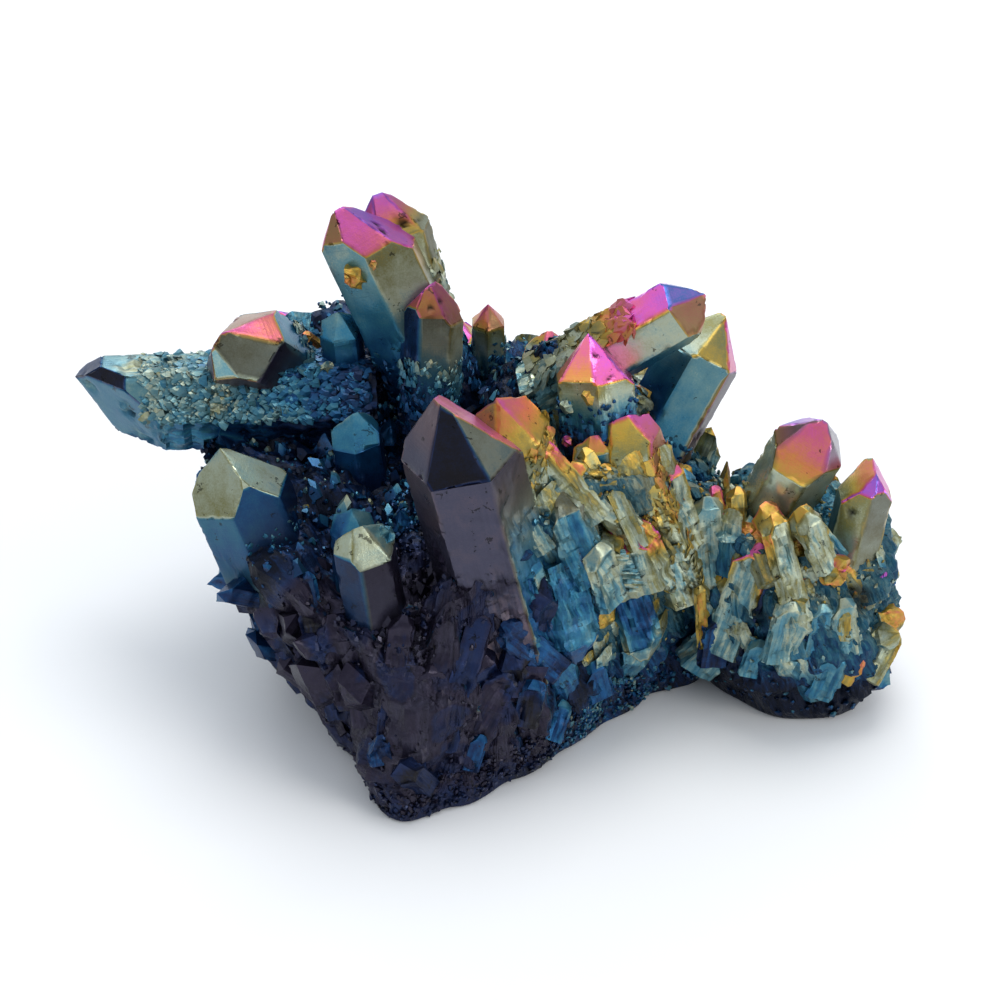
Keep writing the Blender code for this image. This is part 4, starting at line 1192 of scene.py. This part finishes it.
def plainSpec(tip, foot, width, roll, words, drops, chance, steps=livelySteps):
    # a smaller crystal: one run of tints, each face a little off it
    first, last = words.split("-")[0], words.split("-")[-1]
    cleanRun = list(tints)[:len(filmStops)]
    faces = []
    for index in range(6):
        step = chance.choice(steps)
        word = first
        if first in cleanRun:
            word = cleanRun[max(0, min(len(cleanRun) - 1, cleanRun.index(first) + step))]
        faces.append(f"{word}-{last}" if index % 2 else word)
    sides = [f"{first}-{last}" if index % 3 else last for index in range(6)]
    return {"tip": tip, "foot": foot, "width": width, "roll": roll, "drops": drops,
            "crust": plainCrust, "footTint": last, "tipFaces": ", ".join(faces),
            "sides": ", ".join(sides)}


def nearestTint(film, dusk):
    away = {word: abs(place - film) + abs(share - dusk) * 2 for word, (place, share) in tints.items()}
    return min(away, key=away.get)


def scatterSpecs():
    chance = random.Random(scatterSeed)
    hues = random.Random(scatterHueSeed)
    specs = {}
    for prefix, plan in scatterPlans.items():
        form = matrixForms[plan["form"]]
        for index in range(plan["count"]):
            angle = chance.uniform(0, 360)
            level = chance.uniform(*plan["levels"])
            width = chance.uniform(*plan["widths"])
            length = chance.uniform(*plan["lengths"])
            root = matrixPoint(form, angle, level)
            out = matrixNormal(form, angle, level)
            sway = Vector([chance.uniform(-scatterSway, scatterSway) for _ in range(3)])
            heading = (out * plan["outward"] + scatterLean + sway).normalized()
            foot = root - heading * width
            tip = root + heading * (length - width)
            drops = [chance.choice(scatterDrops) * width for _ in range(6)]
            roll = chance.uniform(0, 60)
            film, dusk = groundShade(root, out, level)
            raised = film + hues.choice(scatterRises) * (1 - dusk)
            words = nearestTint(raised, round(dusk)) + "-" + nearestTint(film, round(dusk))
            specs[f"{prefix}{index:02d}"] = plainSpec(tip, foot, width, roll, words, drops, hues)
    return specs


smallHueSeed = 8
plateDrops = (0, 0.6, 1.2, 0, 0.8, 0)  # millimetres, for blades and, by their width, for laths
pointDrops = (0, 0.4, 1.0, 0, 0.6, 0)
bladeFlatness = 0.7


def smallSpecs():
    # blades, wall forms, bumps and far crystals, in the form of the large crystals' settings
    hues = random.Random(smallHueSeed)
    specs = {}
    for name, (*shape, words) in blades.items():
        specs[name] = plainSpec(*shape, words, plateDrops, hues)
        specs[name]["flatness"] = bladeFlatness
    for name, (tip, foot, width, roll, words) in {**farCrystals, **bumps}.items():
        drops = [drop * min(1.0, width / 5.0) for drop in pointDrops]
        steps = calmSteps if name in bumps else livelySteps
        specs[name] = plainSpec(tip, foot, width, roll, words, drops, hues, steps)
    for index in range(comb["count"]):
        tip = Vector(comb["first"]).lerp(Vector(comb["last"]), index / (comb["count"] - 1))
        foot = tip + Vector(comb["reach"])
        specs[f"comb{index}"] = plainSpec(
            tip, foot, comb["width"], comb["turn"] * index, comb["tints"], [0.0] * 6, hues)
    for name, (tip, foot, width, roll, words, thin) in wallForms.items():
        drops = [drop * width * 0.25 for drop in plateDrops]
        specs[name] = plainSpec(tip, foot, width, roll, words, drops, hues, calmSteps)
        specs[name]["flatness"] = thin
    return specs


def buildCrystals(material):
    made = [buildCrystal(name, spec, 4, material) for name, spec in crystals.items()]
    made += [buildCrystal(name, spec, 3, material) for name, spec in smallSpecs().items()]
    made += [buildCrystal(name, spec, 1, material) for name, spec in scatterSpecs().items()]
    print("crystals", len(made), sum(len(piece.data.vertices) for piece in made))
    return made


# Druse: laths and grains placed in great number.
def readModel(piece):
    points = meshVectors(piece.data, "co")
    faces = [tuple(polygon.vertices) for polygon in piece.data.polygons]
    bpy.data.objects.remove(piece)
    return points, faces


# slopes of a grain's tip: turn in degrees and how far each stands off the tip
grainSlopes = ((10, 0.0), (105, 0.06), (185, 0.14), (280, 0.02))
lathDrops = (0, 0.25, 0.5, 0, 0.4, 0.1)
lathLength = 3.0
lathSpacing = 0.42


def grainModel():
    # one small crystal of width 1 and length 1, its point at the origin
    deselectAll()
    bpy.ops.mesh.primitive_cylinder_add(vertices=4, radius=0.62, depth=1.6, location=(0, 0, -0.2))
    piece = bpy.context.object
    bpy.ops.object.transform_apply(location=True, rotation=False, scale=False)
    bpy.ops.object.mode_set(mode="EDIT")
    for turn, drop in grainSlopes:
        slope = Matrix.Rotation(math.radians(turn), 3, "Z") @ Vector((0.72, 0.0, 0.69))
        cutFace(-slope * drop, slope)
    bpy.ops.object.mode_set(mode="OBJECT")
    return readModel(piece)


def lathModel():
    # one lath, thin in X, with points close enough for its faces to be roughened
    piece = cutPrism("lathModel", 1.0, lathLength, lathDrops)
    splitLongSides(piece, lathSpacing)
    subdivideFaces(piece, 1)
    piece.data.transform(Matrix.Diagonal((1.0, 1.0, 1 / lathLength, 1.0)))
    return readModel(piece)


druseBeds = {
    # where: form, angles and levels; how many; widths and lengths in millimetres; how thin and
    # how far one stands out of the ground; film added at the tips; spread of the films; glints
    "wallLaths": {
        "model": "lath", "form": "wedge", "angles": (-80, 2), "levels": (0.20, 1.04), "count": 80,
        "widths": (1.4, 3.6), "lengths": (4.0, 11.0), "thin": 0.45, "stand": (-0.4, 0.3),
        "sway": 0.12, "outward": 0.08, "tipFilm": 0.12, "spread": 0.06},
    "leftPlates": {
        "model": "lath", "form": "wedge", "angles": (-180, -98), "levels": (0.15, 0.80),
        "count": 60, "widths": (1.6, 4.0), "lengths": (5.0, 11.0), "thin": 0.40,
        "stand": (-0.6, -0.1), "sway": 0.10, "outward": 0.0, "tipFilm": 0.03, "spread": 0.10},
    "lobeLaths": {
        "model": "lath", "form": "lobe", "angles": (0, 360), "levels": (0.30, 1.10), "count": 70,
        "widths": (1.4, 3.4), "lengths": (3.5, 8.0), "thin": 0.50, "stand": (-0.3, 0.3),
        "sway": 0.12, "outward": 0.04, "tipFilm": 0.14, "spread": 0.07},
    "backLaths": {
        "model": "lath", "form": "wedge", "angles": (8, 174), "levels": (0.12, 0.92), "count": 130,
        "widths": (1.8, 4.6), "lengths": (5.0, 12.0), "thin": 0.6, "stand": (0.1, 1.0),
        "sway": 0.22, "outward": 0.20, "tipFilm": 0.18, "spread": 0.08},
    "wallGrains": {
        "model": "grain", "form": "wedge", "angles": (-92, 6), "levels": (0.10, 1.10),
        "count": 700, "widths": (0.3, 0.8), "lengths": (0.5, 1.5), "thin": 0.8,
        "stand": (0.1, 0.7), "sway": 0.5, "outward": 0.5, "tipFilm": 0.10, "spread": 0.08},
    "footGrains": {
        "model": "grain", "form": "wedge", "angles": (-118, 6), "levels": (0.03, 0.20),
        "count": 1500, "widths": (0.3, 0.8), "lengths": (0.5, 1.1), "thin": 0.9,
        "stand": (0.1, 0.6), "sway": 0.8, "outward": 0.9, "tipFilm": 0.06, "spread": 0.07,
        "glints": 0.07},
    "leftGrains": {
        "model": "grain", "form": "wedge", "angles": (-188, -94), "levels": (0.03, 1.05),
        "count": 500, "widths": (0.25, 0.6), "lengths": (0.4, 1.1), "thin": 0.9,
        "stand": (0.1, 0.5), "sway": 0.7, "outward": 0.6, "tipFilm": 0.05, "spread": 0.08},
    "valleyGrains": {
        "model": "grain", "form": "wedge", "angles": (0, 360), "levels": (0.98, 1.97),
        "count": 5200, "widths": (0.22, 0.8), "lengths": (0.3, 1.1), "thin": 0.9,
        "stand": (0.2, 1.0), "sway": 0.9, "outward": 0.8, "tipFilm": 0.06, "spread": 0.06,
        "glints": 0.09},
    "valleyBlades": {
        "model": "grain", "form": "wedge", "angles": (0, 360), "levels": (1.0, 1.9),
        "count": 260, "widths": (0.9, 2.0), "lengths": (1.4, 3.2), "thin": 0.8,
        "stand": (0.4, 1.2), "sway": 0.7, "outward": 0.8, "tipFilm": 0.12, "spread": 0.08},
    "backGrains": {
        "model": "grain", "form": "wedge", "angles": (6, 174), "levels": (0.03, 1.08),
        "count": 1500, "widths": (0.35, 1.2), "lengths": (0.7, 2.0), "thin": 0.8,
        "stand": (0.2, 0.9), "sway": 0.6, "outward": 0.7, "tipFilm": 0.14, "spread": 0.10},
    "lobeGrains": {
        "model": "grain", "form": "lobe", "angles": (0, 360), "levels": (0.05, 1.9),
        "count": 1300, "widths": (0.3, 0.8), "lengths": (0.5, 1.4), "thin": 0.8,
        "stand": (0.1, 0.6), "sway": 0.6, "outward": 0.6, "tipFilm": 0.10, "spread": 0.08},
    "ridgeGrains": {
        "model": "grain", "form": "ridge", "angles": (0, 360), "levels": (0.5, 1.95),
        "count": 900, "widths": (0.35, 1.1), "lengths": (0.6, 2.2), "thin": 0.6,
        "stand": (0.1, 0.8), "sway": 0.5, "outward": 0.4, "tipFilm": 0.14, "spread": 0.09},
}


druseFinish = {
    # lowest and rightmost: one that reaches past these places is left out; sway: how far the
    # faces are roughened
    "lath": {"lowest": 0.5, "rightmost": 43.6, "sway": 0.14, "skin": 0.8},
    "grain": {"lowest": -0.4, "rightmost": math.inf, "sway": 0.0, "skin": 0.15},
}
druseLooks = {
    "swaySize": 0.9,
    "floorGap": 0.05,
    "tipStart": -0.7,  # where the tip's film begins to show, in lengths from the tip
    "footRange": (-0.9, -0.35), "footHollow": 0.28,  # the foot lies in shade
}


def placeDruse(spots, modelPoints, finish):
    # every copy's points, strands and shades; a spot is its tip, heading, thin way, three
    # lengths, film, film at the tip and dusk
    high = ease(modelPoints[:, 2], druseLooks["tipStart"], 0.0)
    squeeze = np.array((1.0, 1.0, strandSqueeze))
    rows = []
    for tip, heading, thinWay, lengths, tone, tipTone, shade in spots:
        thinWay = (thinWay - heading * thinWay.dot(heading)).normalized()
        turn = np.array((thinWay, heading.cross(thinWay), heading))
        sized = modelPoints * np.array(lengths)
        placed = sized @ turn + np.array(tip)
        if placed[:, 2].min() < finish["lowest"] or placed[:, 0].max() > finish["rightmost"]:
            continue
        film = tone + high * (tipTone - tone)
        rows.append((placed, sized * squeeze + np.array(tip), film, np.full(len(film), shade)))
    return rows


def layDruse(name, spots, kind, model, material):
    modelPoints, modelFaces = model
    finish = druseFinish[kind]
    rows = placeDruse(spots, modelPoints, finish)
    joined, strands, film, dusk = [np.concatenate(column) for column in zip(*rows)]
    if finish["sway"]:
        rough = noiseField(joined, druseLooks["swaySize"])
        sway = np.stack([rough, np.roll(rough, 1), np.roll(rough, 2)], axis=1)
        joined = joined + sway * finish["sway"]
    joined[:, 2] = np.maximum(joined[:, 2], druseLooks["floorGap"])
    faces = []
    for start in range(0, len(joined), len(modelPoints)):
        faces += [tuple(start + corner for corner in face) for face in modelFaces]
    mesh = bpy.data.meshes.new(name)
    mesh.from_pydata(((joined + np.array(centreShift)) * mm).tolist(), [], faces)
    foot = 1.0 - ease(modelPoints[:, 2], *druseLooks["footRange"])
    shaded = np.tile(foot, len(rows)) * druseLooks["footHollow"]
    storeLayers(mesh, strands, film=film, dusk=dusk, skin=np.full(len(joined), finish["skin"]),
                hollow=np.maximum(shaded, shadowAt(joined)))
    mesh.materials.append(material)
    piece = bpy.data.objects.new(name, mesh)
    bpy.context.scene.collection.objects.link(piece)
    print("druse", name, len(rows), sum(len(face) - 2 for face in modelFaces) * len(rows))
    return piece


druseGrowth = {
    "smallness": 1.8,  # the higher, the fewer large ones
    "lengthSpread": (0.75, 1.25),
    "swayTurn": 0.4,
    "glintTones": (0.22, 0.42),
    "tipSpread": 1.6,
}


def bedSpots(bed, seed):
    chance = random.Random(seed)
    form = matrixForms[bed["form"]]
    spots = []
    for _ in range(bed["count"]):
        angle = chance.uniform(*bed["angles"])
        level = chance.uniform(*bed["levels"])
        root, out = lumpyPoint(form, angle, level)
        sway = Vector([chance.uniform(-bed["sway"], bed["sway"]) for _ in range(3)])
        along = ribDirection(root)
        along = (along - out * along.dot(out)).normalized()
        heading = (along + out * bed["outward"] + sway).normalized()
        size = chance.random() ** druseGrowth["smallness"]
        width = between(bed["widths"], size)
        length = between(bed["lengths"], size) * chance.uniform(*druseGrowth["lengthSpread"])
        thick = width * bed["thin"]
        stand = chance.uniform(*bed["stand"])
        tip = root + heading * length * 0.5 + out * (stand - thick * 0.5)
        film, dusk = groundShade(root, out, level)
        tone = film + chance.gauss(0, bed["spread"])
        # painted glints: a few grains take a pale film in place of their own
        if chance.random() < bed.get("glints", 0.0):
            tone = chance.uniform(*druseGrowth["glintTones"])
        tipTone = tone + bed["tipFilm"] * chance.random() * druseGrowth["tipSpread"] * (1 - dusk)
        thinWay = out + sway * druseGrowth["swayTurn"]
        spots.append((tip, heading, thinWay, (thick, width, length), tone, tipTone, dusk))
    return spots


overgrowth = {
    # parent: sides, where it starts and ends down them in millimetres, how many, widths,
    # lengths, and films at its start, middle and end
    "rightSpear": ((4, 5), (6.5, 19.0), 520, (0.5, 1.9), (0.9, 2.8), (0.74, 0.45, 0.42)),
    "rightSpearPair": ((0, 1, 2), (14.0, 20.0), 110, (0.3, 1.1), (0.5, 1.4), (0.20, 0.08, 0.04)),
    "leftArm": ((0, 1), (3.2, 28.0), 1600, (0.2, 1.1), (0.3, 1.5), (0.33, 0.30, 0.08)),
    "highTower": ((4, 5, 0, 1), (15.0, 24.0), 300, (0.3, 1.2), (0.5, 1.8), (0.26, 0.14, 0.06)),
    "highTowerPair": ((0, 1, 2), (7.0, 22.0), 260, (0.4, 1.5), (0.7, 2.2), (0.42, 0.34, 0.14)),
    "middleStub": ((5, 0, 1), (7.0, 18.0), 420, (0.25, 0.9), (0.4, 1.3), (0.34, 0.14, 0.06)),
    "middleSmall": ((0, 1), (4.0, 10.0), 90, (0.25, 0.8), (0.4, 1.2), (0.26, 0.14, 0.10)),
    "backLeftStub": ((0, 1, 2), (8.0, 19.0), 420, (0.3, 1.3), (0.5, 1.7), (0.34, 0.18, 0.08)),
    "centrePyramid": ((4, 5, 0, 1), (6.0, 14.0), 160, (0.3, 0.8), (0.4, 1.1), (0.16, 0.06, 0.03)),
    "frontShoulder": ((0, 1, 2), (4.5, 18.0), 260, (0.3, 1.2), (0.6, 2.2), (0.56, 0.46, 0.38)),
    "wallLath": ((0, 5, 1), (4.0, 22.0), 260, (0.25, 0.8), (0.6, 2.0), (0.58, 0.55, 0.48)),
    "lobeTower": ((5, 0, 1), (11.0, 22.0), 160, (0.3, 1.1), (0.6, 1.8), (0.48, 0.42, 0.36)),
    "lobeSide": ((4, 5, 0), (10.0, 20.0), 90, (0.3, 0.9), (0.5, 1.4), (0.40, 0.34, 0.28)),
    "leftFront": ((0, 1), (9.0, 17.0), 160, (0.25, 0.8), (0.4, 1.2), (0.24, 0.14, 0.08)),
}


overgrowthLooks = {
    "breadth": 0.58,  # of the parent's width
    "smallness": 1.6,
    "sway": 0.4,
    "along": 0.9, "lift": (0.0, 0.6),  # lying along the parent, and rising off it
    "stand": 0.05, "forward": 0.4, "thin": 0.42,
    "spread": 0.03, "patches": 0.08, "patchSize": 3.0, "tipFilm": 0.08,
}


def overgrownSpots(parent, bed, chance):
    # small crystals on a large one's sides, lying along it like shingles
    look = overgrowthLooks
    sides, (start, end), count, widths, lengths, films = bed
    spec = crystals[parent]
    top = Vector(spec["tip"])
    axis, side, across = crystalAxes(top, Vector(spec["foot"]), spec["roll"])
    spots = []
    for _ in range(count):
        share = chance.random()
        turn = math.radians(60 * chance.choice(sides))
        out = side * math.cos(turn) + across * math.sin(turn)
        offset = chance.uniform(-0.5, 0.5) * spec["width"] * look["breadth"]
        size = chance.random() ** look["smallness"]
        width = between(widths, size)
        length = between(lengths, size)
        base = top - axis * (start + (end - start) * share)
        sway = Vector([chance.uniform(-look["sway"], look["sway"]) for _ in range(3)])
        heading = (axis * look["along"] + out * chance.uniform(*look["lift"]) + sway).normalized()
        place = base + out * (spec["width"] / 2 + width * look["stand"]) + axis.cross(out) * offset
        film = float(np.interp(share, (0.0, 0.5, 1.0), films)) + chance.gauss(0, look["spread"])
        film += noise.noise(place / look["patchSize"]) * look["patches"]
        tipFilm = film + chance.random() * look["tipFilm"]
        spots.append((place + heading * length * look["forward"], heading, out + sway,
                      (width * look["thin"], width, length), film, tipFilm, 0.0))
    return spots


firstBedSeed = 100
overgrowthSeed = 21


def buildDruse(material):
    models = {"grain": grainModel(), "lath": lathModel()}
    made = []
    for index, (name, bed) in enumerate(druseBeds.items()):
        kind = bed["model"]
        spots = bedSpots(bed, firstBedSeed + index)
        made.append(layDruse(name, spots, kind, models[kind], material))
    chance = random.Random(overgrowthSeed)
    for parent, bed in overgrowth.items():
        spots = overgrownSpots(parent, bed, chance)
        made.append(layDruse(parent + "Druse", spots, "grain", models["grain"], material))
    return made


def main():
    buildStudio()
    group = buildFilmGroup()
    films = {name: buildAuraMaterial(name, group, look) for name, look in materialLooks.items()}
    pieces = [buildMatrix(name, films["matrixFilm"]) for name in matrixForms]
    pieces += buildCrystals(films["crystalFilm"])
    pieces += buildDruse(films["druseFilm"])
    for piece in pieces:
        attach(piece, "root")
        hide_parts("quartz_cluster")


main()
